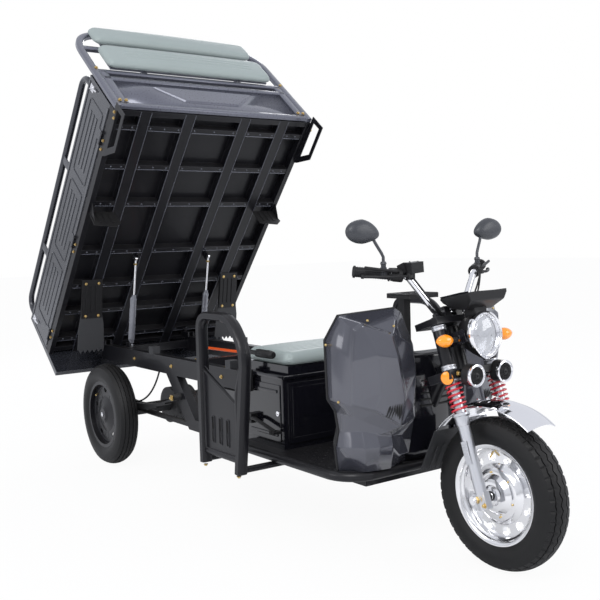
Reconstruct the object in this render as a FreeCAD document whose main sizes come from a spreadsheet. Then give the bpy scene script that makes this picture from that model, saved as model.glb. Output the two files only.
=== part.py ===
import FreeCAD, Part
import math
import os
import Sketcher
from FreeCAD import Placement, Rotation, Vector

# Electric cargo tricycle with a tipping load bed, in millimetres and degrees.
# Left is +X, the front faces -Y and up is +Z. "Ahead" is measured forward of the rear axle,
# "behind" rearward of it. On the bed, "along" runs forward from the hinge line, "over" up from
# the underside of its floor ribs. On the fork, "up" runs up the legs from the front axle.

doc = FreeCAD.newDocument("CargoTricycle")
sheet = doc.addObject("Spreadsheet::Sheet", "Sizes")

# alias, value, what it measures
sizeRows = [
    ("rear_axle_y", 861, "Rear axle behind the origin"),
    ("wheelbase", 2186, "Rear axle to front axle"),
    ("track_half", 388, "Centre plane to the middle of a rear tyre"),
    ("tyre_radius", 248, "Tyre, outer radius"),
    ("tyre_width", 104, "Tyre, width"),
    ("bead_radius", 152, "Tyre bead, radius"),
    ("bead_half", 37, "Tyre bead, half width"),
    ("shoulder_half", 44, "Tread, half width"),
    ("shoulder_drop", 17, "Tread's edge below its crown"),
    ("crown_radius", 65.5, "Tread, radius of its crown"),
    ("sidewall_radius", 52, "Sidewall, radius of its bulge"),
    ("rim_gap", 0.3, "Gap between rim and tyre"),
    ("rim_wall", 4, "Rim, thickness"),
    ("flange_rise", 14, "Rim flange above the bead"),
    ("front_disc_half", 7, "Front wheel disc, half thickness"),
    ("front_hub_radius", 62, "Front hub, radius"),
    ("front_hub_half", 42, "Front hub, half width"),
    ("slot_count", 12, "Slots round the front wheel"),
    ("slot_radius", 122, "Front wheel slots, distance from the axle"),
    ("slot_width", 26, "Front wheel slot, width"),
    ("slot_depth", 22, "Front wheel slot, radial length"),
    ("rear_disc_inset", 14, "Rear wheel disc outside the wheel's middle"),
    ("hole_count", 5, "Holes round the rear wheel"),
    ("hole_radius", 104, "Rear wheel holes, distance from the axle"),
    ("hole_size", 16, "Rear wheel hole, radius"),
    ("drum_radius", 88, "Rear brake drum, radius"),
    ("drum_inner", 319, "Rear brake drum, inner face from the centre plane"),
    ("stub_radius", 15, "Rear axle shaft, radius"),
    ("axle_tube_radius", 29, "Rear axle tube, radius"),
    ("axle_end", 318, "Rear axle tube, end from the centre plane"),
    ("plate_thickness", 5, "Rear brake plate, thickness"),
    ("running_gap", 0.5, "Gap at bearings"),
    ("gear_case_radius", 92, "Differential case, radius"),
    ("gear_case_half", 62, "Differential case, half width"),
    ("motor_radius", 74, "Drive motor, radius"),
    ("motor_length", 196, "Drive motor, length"),
    ("motor_ahead", 166, "Drive motor ahead of the axle"),
    ("motor_rise", 10, "Drive motor above the axle"),
    ("motor_shift", 30, "Drive motor towards the left"),
    ("rail_half", 250, "Centre plane to the middle of a frame rail"),
    ("rail_width", 40, "Frame rail, width"),
    ("rail_height", 80, "Frame rail, height"),
    ("rail_top", 556, "Frame rail, top"),
    ("rail_behind", 340, "Frame rail, rear end behind the axle"),
    ("rail_ahead", 1140, "Frame rail, front end ahead of the axle"),
    ("post_width", 40, "Frame post, length along the vehicle"),
    ("low_rail_top", 294, "Lower rail, top"),
    ("low_rail_height", 50, "Lower rail, height"),
    ("low_rail_behind", 600, "Lower rail, rear end ahead of the axle"),
    ("low_rail_back", 355, "Lower rail, front end behind the front axle"),
    ("cross_size", 40, "Cross tube, width and height"),
    ("hanger_top_ahead", 395, "Spring hanger, rear edge at the rail"),
    ("hanger_length", 100, "Spring hanger, length along the vehicle"),
    ("down_tube_radius", 25, "Down tube, radius"),
    ("down_tube_bend", 90, "Down tube, bend radius"),
    ("down_tube_foot_back", 380, "Down tube, foot behind the front axle"),
    ("head_tube_radius", 27, "Head tube, radius"),
    ("head_tube_low", 414, "Head tube, lower end up the fork"),
    ("head_tube_high", 566, "Head tube, upper end up the fork"),
    ("stem_radius", 13, "Steering stem, radius"),
    ("fork_rake", 19, "Fork, lean back from upright"),
    ("stem_setback", 33, "Steering stem behind the line of the front axle"),
    ("leg_forward", 12, "Fork legs ahead of the line of the front axle"),
    ("leg_half", 100, "Centre plane to a fork leg"),
    ("slider_radius", 19, "Fork slider, radius"),
    ("slider_top", 270, "Fork slider, top up the fork"),
    ("slider_foot", 34, "Fork slider, foot below the axle"),
    ("tube_radius", 15, "Fork tube, radius"),
    ("spring_radius", 24, "Fork spring, middle radius"),
    ("spring_wire", 4, "Fork spring, wire radius"),
    ("spring_turns", 6, "Fork spring, turns"),
    ("yoke_low", 384, "Lower yoke, underside up the fork"),
    ("yoke_low_height", 28, "Lower yoke, height"),
    ("yoke_high", 568, "Upper yoke, underside up the fork"),
    ("yoke_high_height", 22, "Upper yoke, height"),
    ("yoke_edge", 16, "Yoke metal round each leg"),
    ("front_axle_radius", 8, "Front axle, radius"),
    ("front_axle_half", 136, "Front axle, half length"),
    ("pin_gap", 0.4, "Gap round pins in their bores"),
    ("guard_radius", 304, "Front mudguard, radius of its crown"),
    ("guard_width", 126, "Front mudguard, width"),
    ("guard_edge_drop", 18, "Front mudguard, edge below its crown"),
    ("guard_sheet", 2.5, "Front mudguard, thickness"),
    ("guard_front", 55, "Front mudguard, tip above the horizontal"),
    ("guard_rear", 142, "Front mudguard, rear end round from the front"),
    ("stay_up", 256, "Front mudguard stay, height up the fork"),
    ("stay_sheet", 5, "Front mudguard stay, thickness"),
    ("stay_width", 26, "Front mudguard stay, width"),
    ("flap_sheet", 5, "Mud flap, thickness"),
    ("front_flap_half", 80, "Front mud flap, half width"),
    ("front_flap_length", 160, "Front mud flap, length"),
    ("bar_radius", 11, "Handlebar, radius"),
    ("bar_half", 300, "Handlebar, half width"),
    ("bar_clamp_half", 62, "Handlebar, half of its straight middle"),
    ("bar_clamp_up", 616, "Handlebar middle up the fork"),
    ("bar_clamp_back", 20, "Handlebar middle behind the front axle's line"),
    ("bar_bend_half", 158, "Handlebar, upper bends from the centre plane"),
    ("bar_bend_up", 748, "Handlebar, upper bends up the fork"),
    ("bar_bend_back", 10, "Handlebar, upper bends behind the axle's line"),
    ("bar_end_up", 798, "Handlebar ends up the fork"),
    ("bar_end_back", 97, "Handlebar ends behind the axle's line"),
    ("bar_bend_radius", 34, "Handlebar, bend radius"),
    ("grip_radius", 17, "Grip, radius"),
    ("grip_length", 118, "Grip, length"),
    ("lever_radius", 5, "Brake lever, radius"),
    ("mirror_half", 297, "Mirror, middle from the centre plane"),
    ("mirror_wide", 62, "Mirror, half width"),
    ("mirror_tall", 42, "Mirror, half height"),
    ("mirror_deep", 19, "Mirror, half depth"),
    ("mirror_stem", 5, "Mirror stem, radius"),
    ("mirror_height", 1099, "Mirror, middle above the ground"),
    ("mirror_back", 313, "Mirror, middle behind the front axle"),
    ("lamp_back", 50, "Headlight, face behind the front axle"),
    ("lamp_height", 757, "Headlight, middle above the ground"),
    ("lamp_half_tall", 75, "Headlight, half height"),
    ("lamp_half_wide", 66, "Headlight, half width"),
    ("lamp_depth", 92, "Headlight, depth of its shell"),
    ("lamp_back_radius", 40, "Headlight, radius at the back"),
    ("lens_rise", 16, "Headlight lens, rise of its dome"),
    ("visor_back", 45, "Lamp visor, front edge behind the front axle"),
    ("visor_length", 166, "Lamp visor, length"),
    ("visor_half", 90, "Lamp visor, half width at the front"),
    ("visor_top", 900, "Lamp visor, front edge above the ground"),
    ("visor_depth", 44, "Lamp visor, depth of its middle"),
    ("ear_half", 75, "Headlight ear, middle from the centre plane"),
    ("ear_wide", 8, "Headlight ear, thickness"),
    ("ear_reach", 84, "Headlight ear, length from the fork tube's middle"),
    ("ear_tall", 42, "Headlight ear, height"),
    ("ear_up", 509, "Headlight ear, middle up the fork"),
    ("ear_bolt", 9, "Headlight bolt, radius"),
    ("horn_half", 67, "Horn, middle from the centre plane"),
    ("horn_radius", 36, "Horn, radius"),
    ("horn_depth", 34, "Horn, depth"),
    ("horn_back", 38, "Horn faces behind the front axle"),
    ("horn_height", 633, "Horn, middle above the ground"),
    ("horn_bracket", 26, "Horn bracket, depth"),
    ("blinker_reach", 176, "Indicator tip from the centre plane"),
    ("blinker_wide", 32, "Indicator, half width"),
    ("blinker_tall", 21, "Indicator, half height"),
    ("blinker_back", 102, "Indicator, middle behind the front axle"),
    ("blinker_height", 746, "Indicator, middle above the ground"),
    ("blinker_stalk", 7, "Indicator stalk, radius"),
    ("floor_half", 362, "Footboard, half width to its rim's middle"),
    ("floor_back", 334, "Footboard, front of its rim's middle behind the front axle"),
    ("box_gap", 60, "Seat box behind the battery case"),
    ("floor_sheet", 4, "Footboard, sheet thickness"),
    ("floor_corner", 112, "Footboard, corner radius"),
    ("floor_rim", 17, "Footboard, rim radius"),
    ("floor_notch_half", 44, "Footboard, half width of the down tube's notch"),
    ("floor_notch", 96, "Footboard, depth of the down tube's notch"),
    ("wing_wall", 3, "Leg shield, wall thickness"),
    ("wing_bottom", 303, "Leg shield, lower edge"),
    ("centre_panel_half", 128, "Shield centre panel, half width"),
    ("centre_panel_top", 640, "Shield centre panel, top"),
    ("centre_panel_back", 410, "Shield centre panel, rear face behind the front axle"),
    ("console_half", 70, "Dash tray, half width"),
    ("console_top", 880, "Dash tray, top"),
    ("console_back", 340, "Dash tray, front behind the front axle"),
    ("console_length", 116, "Dash tray, length"),
    ("console_post", 30, "Dash post, width"),
    ("hoop_half", 500, "Hip guard, middle from the centre plane"),
    ("hoop_radius", 14, "Hip guard tube, radius"),
    ("hoop_post_foot", 243, "Hip guard, lower ends of its posts"),
    ("guard_arm_radius", 12, "Hip guard, radius of the arms that carry it"),
    ("hoop_foot", 290, "Hip guard, foot above the ground"),
    ("hoop_top", 808, "Hip guard, top rail's middle"),
    ("hoop_rear", 1154, "Hip guard, rear post ahead of the axle"),
    ("hoop_top_front", 1370, "Hip guard, top rail's front end"),
    ("hoop_bend_front", 1462, "Hip guard, foremost bend"),
    ("hoop_bend_height", 690, "Hip guard, foremost bend's height"),
    ("hoop_front", 1404, "Hip guard, front foot ahead of the axle"),
    ("hoop_bend_radius", 70, "Hip guard, bend radius"),
    ("hoop_panel", 3, "Hip guard panel, thickness"),
    ("hoop_panel_rear", 622, "Hip guard panel, top at the rear"),
    ("hoop_panel_front", 494, "Hip guard panel, top at the front"),
    ("seat_box_length", 258, "Seat box, length"),
    ("seat_box_half", 304, "Seat box, half width"),
    ("seat_box_top", 572, "Seat box, top"),
    ("seat_box_wall", 3, "Seat box, sheet thickness"),
    ("seat_base", 40, "Seat base, height"),
    ("seat_front", 1418, "Seat, front ahead of the axle"),
    ("seat_rear", 1122, "Seat, rear ahead of the axle"),
    ("seat_half", 292, "Seat, half width"),
    ("seat_thick", 62, "Seat cushion, thickness"),
    ("seat_round", 20, "Seat cushion, edge radius"),
    ("battery_half", 222, "Battery case, half width"),
    ("battery_ahead", 1086, "Battery case, front ahead of the axle"),
    ("battery_behind", 716, "Battery case, rear ahead of the axle"),
    ("battery_height", 188, "Battery case, height"),
    ("leaf_half", 290.5, "Leaf spring, middle from the centre plane"),
    ("leaf_width", 38, "Leaf spring, width"),
    ("leaf_thick", 7, "Leaf spring, thickness of one leaf"),
    ("leaf_count", 4, "Leaf spring, number of leaves"),
    ("leaf_front", 528, "Leaf spring, front eye ahead of the axle"),
    ("leaf_behind", 285, "Leaf spring, rear eye behind the axle"),
    ("leaf_front_height", 384, "Leaf spring, front eye's height"),
    ("leaf_eye", 15, "Leaf spring eye, radius"),
    ("leaf_sag", 74, "Leaf spring, drop from its eyes to the axle"),
    ("leaf_seat", 60, "Leaf spring seat, length"),
    ("arm_radius", 13, "Radius arm, radius"),
    ("hinge_behind", 363, "Bed hinge behind the rear axle"),
    ("hinge_height", 565, "Bed hinge above the ground"),
    ("hinge_pin", 8, "Bed hinge pin, radius"),
    ("hinge_lug", 16, "Bed hinge lug, radius"),
    ("hinge_lug_width", 14, "Bed hinge lug, width"),
    ("hinge_drop", 30, "Bed hinge below the floor's ribs"),
    ("bed_raise", 50.4, "Bed tilt in its tipped position"),
    ("bed_half", 528, "Bed, half width"),
    ("bed_front", 1428, "Bed front along from the hinge"),
    ("bed_rear", 107, "Bed rear behind the hinge line"),
    ("wall_thick", 25, "Bed walls, thickness"),
    ("bed_sheet", 4, "Bed floor, sheet thickness"),
    ("rib_depth", 38, "Bed floor ribs, depth"),
    ("rib_width", 26, "Bed cross rib, width"),
    ("member_width", 54, "Bed long member, width"),
    ("member_inner", 148, "Bed inner long member from the centre plane"),
    ("member_outer", 371, "Bed outer long member from the centre plane"),
    ("gate_top", 300, "Side gate, top over the ribs"),
    ("gate_clearance", 6, "Gap round each gate"),
    ("gate_pin", 3, "Gate hinge pin, radius"),
    ("gate_knuckle", 50, "Gate hinge knuckle, length"),
    ("gate_ear", 8, "Gate hinge ear, length"),
    ("gate_strap", 40, "Gate hinge strap, height"),
    ("gate_lift", 4, "Tailgate, bottom over the bed floor"),
    ("gate_pin_out", 6, "Gate hinge line outside the bed's side"),
    ("rail_tube_radius", 15, "Bed top rail, radius"),
    ("rail_over", 386, "Bed top rail's middle over the ribs"),
    ("rail_front", 1352, "Bed top rail, front along from the hinge"),
    ("rail_bend", 62, "Bed top rail, bend radius"),
    ("board_height", 680, "Headboard, top over the ribs"),
    ("board_corner", 200, "Headboard, corner radius"),
    ("pad_thick", 46, "Back cushion, thickness"),
    ("pad_gap", 0.3, "Gap behind each cushion"),
    ("low_pad_bottom", 312, "Lower back cushion, bottom over the ribs"),
    ("low_pad_height", 176, "Lower back cushion, height"),
    ("low_pad_half", 450, "Lower back cushion, half width"),
    ("high_pad_bottom", 532, "Upper back cushion, bottom over the ribs"),
    ("high_pad_height", 126, "Upper back cushion, height"),
    ("high_pad_half", 440, "Upper back cushion, half width"),
    ("skirt_drop", 136, "Rear skirt below the ribs"),
    ("tail_lamp_long", 150, "Tail lamp, width"),
    ("tail_lamp_tall", 70, "Tail lamp, height"),
    ("tail_lamp_deep", 18, "Tail lamp, depth"),
    ("bracket_sheet", 4, "Lamp bracket, thickness"),
    ("strut_half", 210, "Gas strut, middle from the centre plane"),
    ("strut_foot_behind", 100, "Gas strut, lower pin behind the axle"),
    ("strut_foot_height", 565, "Gas strut, lower pin above the ground"),
    ("strut_eye_along", 570, "Gas strut, upper pin along the bed"),
    ("strut_eye_under", 20, "Gas strut, upper pin below the ribs"),
    ("strut_pin", 5, "Gas strut pins, radius"),
    ("strut_eye", 10, "Gas strut eyes, radius"),
    ("strut_eye_width", 10, "Gas strut eyes, width"),
    ("cylinder_radius", 11, "Gas strut cylinder, radius"),
    ("cylinder_length", 268, "Gas strut cylinder, length from its pin"),
    ("rod_radius", 5, "Gas strut rod, radius"),
    ("rod_hidden", 92, "Gas strut rod inside its cylinder when out"),
    ("bed_flap_half", 400, "Bed mud flap, middle from the centre plane"),
    ("bed_flap_width", 110, "Bed mud flap, width"),
    ("bed_flap_top_along", 425, "Bed mud flap, top along the bed"),
    ("bed_flap_low_along", 96, "Bed mud flap, lower end along the bed"),
    ("bed_flap_drop", 190, "Bed mud flap, lower end below the ribs"),
    ("rest_height", 34, "Bed rest pad, height"),
    ("rest_size", 40, "Bed rest pad, length"),
    ("cable_radius", 7, "Motor cable, radius"),
    ("cable_bend", 60, "Motor cable, bend radius"),
]


class Size(float):
    """A number that remembers the sheet formula it came from."""

    def __new__(cls, number, formula=None):
        item = super().__new__(cls, number)
        item.formula = formula or repr(float(number))
        return item

    def __add__(self, other):
        return joined(self, "+", other, float(self) + float(other))

    def __radd__(self, other):
        return joined(other, "+", self, float(other) + float(self))

    def __sub__(self, other):
        return joined(self, "-", other, float(self) - float(other))

    def __rsub__(self, other):
        return joined(other, "-", self, float(other) - float(self))

    def __mul__(self, other):
        return joined(self, "*", other, float(self) * float(other))

    def __rmul__(self, other):
        return joined(other, "*", self, float(other) * float(self))

    def __truediv__(self, other):
        return joined(self, "/", other, float(self) / float(other))

    def __neg__(self):
        return joined(0, "-", self, -float(self))


def formula(value):
    return value.formula if isinstance(value, Size) else repr(float(value))


def joined(first, sign, second, number):
    return Size(number, "(%s %s %s)" % (formula(first), sign, formula(second)))


def sine(angle):
    return Size(math.sin(math.radians(angle)), "sin(%s * 1 deg)" % formula(angle))


def cosine(angle):
    return Size(math.cos(math.radians(angle)), "cos(%s * 1 deg)" % formula(angle))


class Sizes:
    """The sheet's values by their aliases."""


s = Sizes()
for row, (alias, number, meaning) in enumerate(sizeRows, start=1):
    sheet.set("A%d" % row, meaning)
    sheet.set("B%d" % row, str(number))
    sheet.setAlias("B%d" % row, alias)
    setattr(s, alias, Size(number, "Sizes." + alias))
doc.recompute()

parts = {}

# Frames: the rest of a piece's placement, as x, y, z and its turn about X
level = (0, 0, 0, 0)
bedFrame = (0, s.rear_axle_y + s.hinge_behind, s.hinge_height, -s.bed_raise)
forkFrame = (0, s.rear_axle_y - s.wheelbase, s.tyre_radius, -s.fork_rake)
hinge = s.hinge_drop


def ahead(distance):
    return s.rear_axle_y - distance


def bind(item, **values):
    """Sets each property and ties it to the sheet."""
    for name, value in values.items():
        setattr(item, name, float(value))
        if isinstance(value, Size):
            item.setExpression(name, value.formula)
    return item


def place(item, x=0, y=0, z=0, turn=0, axis=(1, 0, 0)):
    """Ties a piece's placement to the sheet."""
    centre = "create(<<vector>>; %s; %s; %s)" % (formula(x), formula(y), formula(z))
    about = "create(<<vector>>; %d; %d; %d)" % axis
    turned = "create(<<rotation>>; %s; %s)" % (about, formula(turn))
    item.setExpression("Placement", "create(<<placement>>; %s; %s)" % (centre, turned))
    return item


def box(sizeX, sizeY, sizeZ, x, y, z):
    """A block between its least corner x, y, z and its far corner."""
    item = doc.addObject("Part::Box", "Block")
    bind(item, Length=sizeX, Width=sizeY, Height=sizeZ)
    return place(item, x, y, z)


def bar(halfMiddle, width, length, height, front, bottom, side=1):
    """A block along the vehicle, centred on side * halfMiddle, by its front end and bottom."""
    return box(width, length, height, halfMiddle * side - width / 2, ahead(front), bottom)


def cross(halfLength, depth, height, front, bottom):
    """A block across the vehicle, by its front face and bottom."""
    return box(halfLength * 2, depth, height, -halfLength, ahead(front), bottom)


def rod(radius, length, x, y, z, axis="x"):
    """A round bar centred on x, y, z along the named axis."""
    item = doc.addObject("Part::Cylinder", "Rod")
    bind(item, Radius=radius, Height=length)
    if axis == "x":
        return place(item, x - length / 2, y, z, 90, (0, 1, 0))
    if axis == "y":
        return place(item, x, y + length / 2, z, 90, (1, 0, 0))
    return place(item, x, y, z - length / 2)


def fuse(label, items, frame=level):
    if len(items) == 1:
        return compound(label, items, frame)
    item = doc.addObject("Part::MultiFuse", label)
    item.Shapes = items
    item.Refine = True
    return place(item, *frame)


def cut(label, base, tools, frame=level):
    tool = tools[0] if len(tools) == 1 else fuse(label + "_cuts", tools)
    item = doc.addObject("Part::Cut", label)
    item.Base = base
    item.Tool = tool
    item.Refine = True
    return place(item, *frame)


def compound(label, items, frame=level):
    item = doc.addObject("Part::Compound", label)
    item.Links = items
    return place(item, *frame)


def shaped(label, shape, frame=level):
    """A piece whose shape is worked out here from the sheet's values."""
    item = doc.addObject("Part::Feature", label)
    item.Shape = shape
    return place(item, *frame)


def posed(label, shape, placement):
    """As shaped, with a placement worked out here."""
    item = doc.addObject("Part::Feature", label)
    item.Shape = shape
    item.Placement = placement
    return item


def keep(item, name):
    """Names a finished sub-part, whose label is its file's name."""
    item.Label = name
    parts[name] = item
    return item


def wire(points, bend):
    """Straight runs through the points, joined by tangent arcs."""
    corners = [Vector(*[float(number) for number in point]) for point in points]
    edges = []
    start = corners[0]
    for before, corner, after in zip(corners, corners[1:], corners[2:]):
        inward = (before - corner).normalize()
        outward = (after - corner).normalize()
        half = inward.getAngle(outward) / 2
        reach = float(bend) / math.tan(half)
        first = corner + inward * reach
        last = corner + outward * reach
        middleWay = (inward + outward).normalize()
        middle = corner + middleWay * (float(bend) / math.sin(half) - float(bend))
        edges.append(Part.LineSegment(start, first).toShape())
        edges.append(Part.Arc(first, middle, last).toShape())
        start = last
    edges.append(Part.LineSegment(start, corners[-1]).toShape())
    return Part.Wire(edges)


def tube(points, radius, bend):
    """A round bar along straight runs joined by tangent arcs."""
    path = wire(points, bend)
    start = Vector(*[float(number) for number in points[0]])
    second = Vector(*[float(number) for number in points[1]])
    ring = Part.Wire([Part.Circle(start, second - start, float(radius)).toShape()])
    return path.makePipe(Part.Face(ring))


def outline(body, plane, points):
    """A closed sketch through (u, v) points, each tied to the sheet.

    A third number is the radius of the arc from that point to the next, which bulges to the
    left of the way there, or to the right where it is negative.
    """
    sketch = body.newObject("Sketcher::SketchObject", "Outline")
    origin = next(item for item in body.Origin.OriginFeatures if item.Role == plane)
    sketch.AttachmentSupport = [(origin, "")]
    sketch.MapMode = "FlatFace"
    rows = [tuple(point) + (None,) * (3 - len(point)) for point in points]
    ends = []
    for index, (u, v, bulge) in enumerate(rows):
        nextRow = rows[(index + 1) % len(rows)]
        start = Vector(float(u), float(v), 0)
        end = Vector(float(nextRow[0]), float(nextRow[1]), 0)
        if bulge is None:
            sketch.addGeometry(Part.LineSegment(start, end), False)
            ends.append((1, 2))
            continue
        chord = end - start
        radius = abs(float(bulge))
        reach = math.sqrt(radius * radius - chord.Length * chord.Length / 4)
        left = Vector(-chord.y, chord.x, 0).normalize()
        centre = (start + end) * 0.5 + left * (-reach if bulge > 0 else reach)
        first, last = (end, start) if bulge > 0 else (start, end)
        circle = Part.Circle(centre, Vector(0, 0, 1), radius)
        fromAngle = math.atan2(first.y - centre.y, first.x - centre.x)
        toAngle = math.atan2(last.y - centre.y, last.x - centre.x)
        sketch.addGeometry(Part.ArcOfCircle(circle, fromAngle, toAngle), False)
        ends.append((2, 1) if bulge > 0 else (1, 2))
    for index in range(len(rows)):
        following = (index + 1) % len(rows)
        sketch.addConstraint(Sketcher.Constraint("Coincident", index, ends[index][1],
                                                 following, ends[following][0]))
    for index, (u, v, bulge) in enumerate(rows):
        for kind, value in (("DistanceX", u), ("DistanceY", v)):
            number = sketch.addConstraint(
                Sketcher.Constraint(kind, -1, 1, index, ends[index][0], float(value)))
            if isinstance(value, Size):
                sketch.setExpression("Constraints[%d]" % number, value.formula)
        if bulge is not None:
            number = sketch.addConstraint(
                Sketcher.Constraint("Radius", index, abs(float(bulge))))
            if isinstance(bulge, Size):
                radius = bulge if bulge > 0 else -bulge
                sketch.setExpression("Constraints[%d]" % number, radius.formula)
    sketch.Visibility = False
    return sketch


def body(label, frame=level):
    return place(doc.addObject("PartDesign::Body", label), *frame)


def pad(owner, plane, points, length, reversed=False, midplane=False):
    sketch = outline(owner, plane, points)
    item = owner.newObject("PartDesign::Pad", "Pad")
    item.Profile = sketch
    bind(item, Length=length)
    item.Reversed = reversed
    item.Midplane = midplane
    return item


def pocket(owner, plane, points, length, reversed=False, midplane=False):
    sketch = outline(owner, plane, points)
    item = owner.newObject("PartDesign::Pocket", "Pocket")
    item.Profile = sketch
    bind(item, Length=length)
    item.Reversed = reversed
    item.Midplane = midplane
    return item


def revolve(owner, points, angle=360, axis="H_Axis"):
    """Turns an outline in the XY plane about the sketch's own axis."""
    sketch = outline(owner, "XY_Plane", points)
    item = owner.newObject("PartDesign::Revolution", "Turned")
    item.Profile = sketch
    item.ReferenceAxis = (sketch, [axis])
    bind(item, Angle=angle)
    return item


def pattern(owner, feature, count):
    """Repeats a feature round the body's X axis."""
    item = owner.newObject("PartDesign::PolarPattern", "Round")
    item.Originals = [feature]
    axis = next(line for line in owner.Origin.OriginFeatures if line.Role == "X_Axis")
    item.Axis = (axis, [""])
    item.Angle = 360
    item.Occurrences = int(count)
    if isinstance(count, Size):
        item.setExpression("Occurrences", count.formula)
    owner.Tip = item
    return item


# Wheels
def tyre(name, x, y):
    owner = body(name, (x, y, s.tyre_radius, 0))
    shoulder = s.tyre_radius - s.shoulder_drop
    revolve(owner, [
        (-s.bead_half, s.bead_radius),
        (-s.bead_half, s.bead_radius + s.flange_rise, s.sidewall_radius),
        (-s.shoulder_half, shoulder, s.crown_radius),
        (s.shoulder_half, shoulder, s.sidewall_radius),
        (s.bead_half, s.bead_radius + s.flange_rise),
        (s.bead_half, s.bead_radius),
    ])
    return keep(owner, name)


def rimSection(inner, outer):
    """Half of a wheel's section, its disc running from the hub's radius to the barrel."""
    seat = s.bead_radius - s.rim_gap
    edge = s.bead_half + s.rim_gap
    lip = s.bead_radius + s.flange_rise
    return [
        (inner, seat - s.rim_wall),
        (-edge - s.rim_wall, seat - s.rim_wall),
        (-edge - s.rim_wall, lip),
        (-edge, lip),
        (-edge, seat),
        (edge, seat),
        (edge, lip),
        (edge + s.rim_wall, lip),
        (edge + s.rim_wall, seat - s.rim_wall),
        (outer, seat - s.rim_wall),
    ]


def frontRim():
    name = "front_rim"
    owner = body(name, (0, ahead(s.wheelbase), s.tyre_radius, 0))
    bore = s.front_axle_radius + s.pin_gap
    disc = s.front_disc_half
    revolve(owner, [
        (-s.front_hub_half, bore),
        (-s.front_hub_half, s.front_hub_radius * 0.45, 60),
        (-disc, s.front_hub_radius),
    ] + rimSection(-disc, disc) + [
        (disc, s.front_hub_radius, 60),
        (s.front_hub_half, s.front_hub_radius * 0.45),
        (s.front_hub_half, bore),
    ])
    low = s.slot_radius - s.slot_depth / 2
    high = s.slot_radius + s.slot_depth / 2
    slot = pocket(owner, "YZ_Plane", [
        (-s.slot_width / 2, low),
        (-s.slot_width / 2, high, s.slot_width * 2),
        (s.slot_width / 2, high),
        (s.slot_width / 2, low),
    ], s.tyre_width, midplane=True)
    pattern(owner, slot, s.slot_count)
    return keep(owner, name)


def rearRim(name, side):
    owner = body(name, (s.track_half * side, ahead(0), s.tyre_radius, 0))
    inset = s.rear_disc_inset
    drumInner = s.drum_inner - s.track_half
    rim = [(u * side, v) for u, v in rimSection(inset, inset + s.rim_wall)]
    points = [
        ((s.axle_end + s.running_gap - s.track_half) * side, 0),
        ((s.axle_end + s.running_gap - s.track_half) * side, s.stub_radius),
        (drumInner * side, s.stub_radius),
        (drumInner * side, s.drum_radius),
        (inset * side, s.drum_radius),
    ] + rim + [
        ((inset + s.rim_wall) * side, s.drum_radius),
        ((inset + s.rim_wall * 4) * side, s.stub_radius * 3),
        ((inset + s.rim_wall * 6) * side, s.stub_radius * 2),
        ((inset + s.rim_wall * 6) * side, 0),
    ]
    revolve(owner, points)
    middle = s.hole_radius + s.hole_size
    hole = pocket(owner, "YZ_Plane", [
        (-s.hole_size, middle, s.hole_size * 1.01),
        (s.hole_size, middle, s.hole_size * 1.01),
    ], s.tyre_width, midplane=True)
    pattern(owner, hole, s.hole_count)
    return keep(owner, name)


# Rear axle and springs
def rearAxle():
    pieces = [
        rod(s.axle_tube_radius, s.axle_end * 2, 0, ahead(0), s.tyre_radius),
        rod(s.drum_radius, s.plate_thickness, s.plate_thickness / 2 - s.axle_end, ahead(0), s.tyre_radius),
        rod(s.drum_radius, s.plate_thickness, s.axle_end - s.plate_thickness / 2, ahead(0), s.tyre_radius),
        rod(s.gear_case_radius, s.gear_case_half * 2, 0, ahead(0), s.tyre_radius),
    ]
    span = s.leaf_front + s.leaf_behind
    curve = (span * span / 4 + s.leaf_sag * s.leaf_sag) / (s.leaf_sag * 2)
    offset = (s.leaf_front - s.leaf_behind) / 2 - s.leaf_seat / 2
    rise = offset * offset / (curve * 2) - s.pin_gap / 2
    seatTop = s.leaf_front_height - s.leaf_sag - s.leaf_thick * s.leaf_count + rise
    hangerLow = s.low_rail_top - s.low_rail_height
    lean = (s.low_rail_behind - s.hanger_top_ahead) / (s.rail_top - s.rail_height - hangerLow)
    reach = s.low_rail_behind - (s.tyre_radius + s.arm_radius * 2 - hangerLow) * lean - s.running_gap
    for side in (-1, 1):
        pieces.append(box(s.leaf_width, s.leaf_seat, seatTop - s.tyre_radius,
                          s.leaf_half * side - s.leaf_width / 2, ahead(s.leaf_seat / 2), s.tyre_radius))
        pieces.append(rod(s.arm_radius, reach, s.rail_half * side, ahead(reach / 2),
                          s.tyre_radius + s.arm_radius, "y"))
    return keep(fuse("rear_axle", pieces), "rear_axle")


def driveMotor():
    height = s.tyre_radius + s.motor_rise
    motor = rod(s.motor_radius, s.motor_length, s.motor_shift, ahead(s.motor_ahead), height)
    cap = rod(s.motor_radius * 0.8, s.motor_length + 24, s.motor_shift, ahead(s.motor_ahead), height)
    return keep(fuse("drive_motor", [motor, cap]), "drive_motor")


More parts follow.
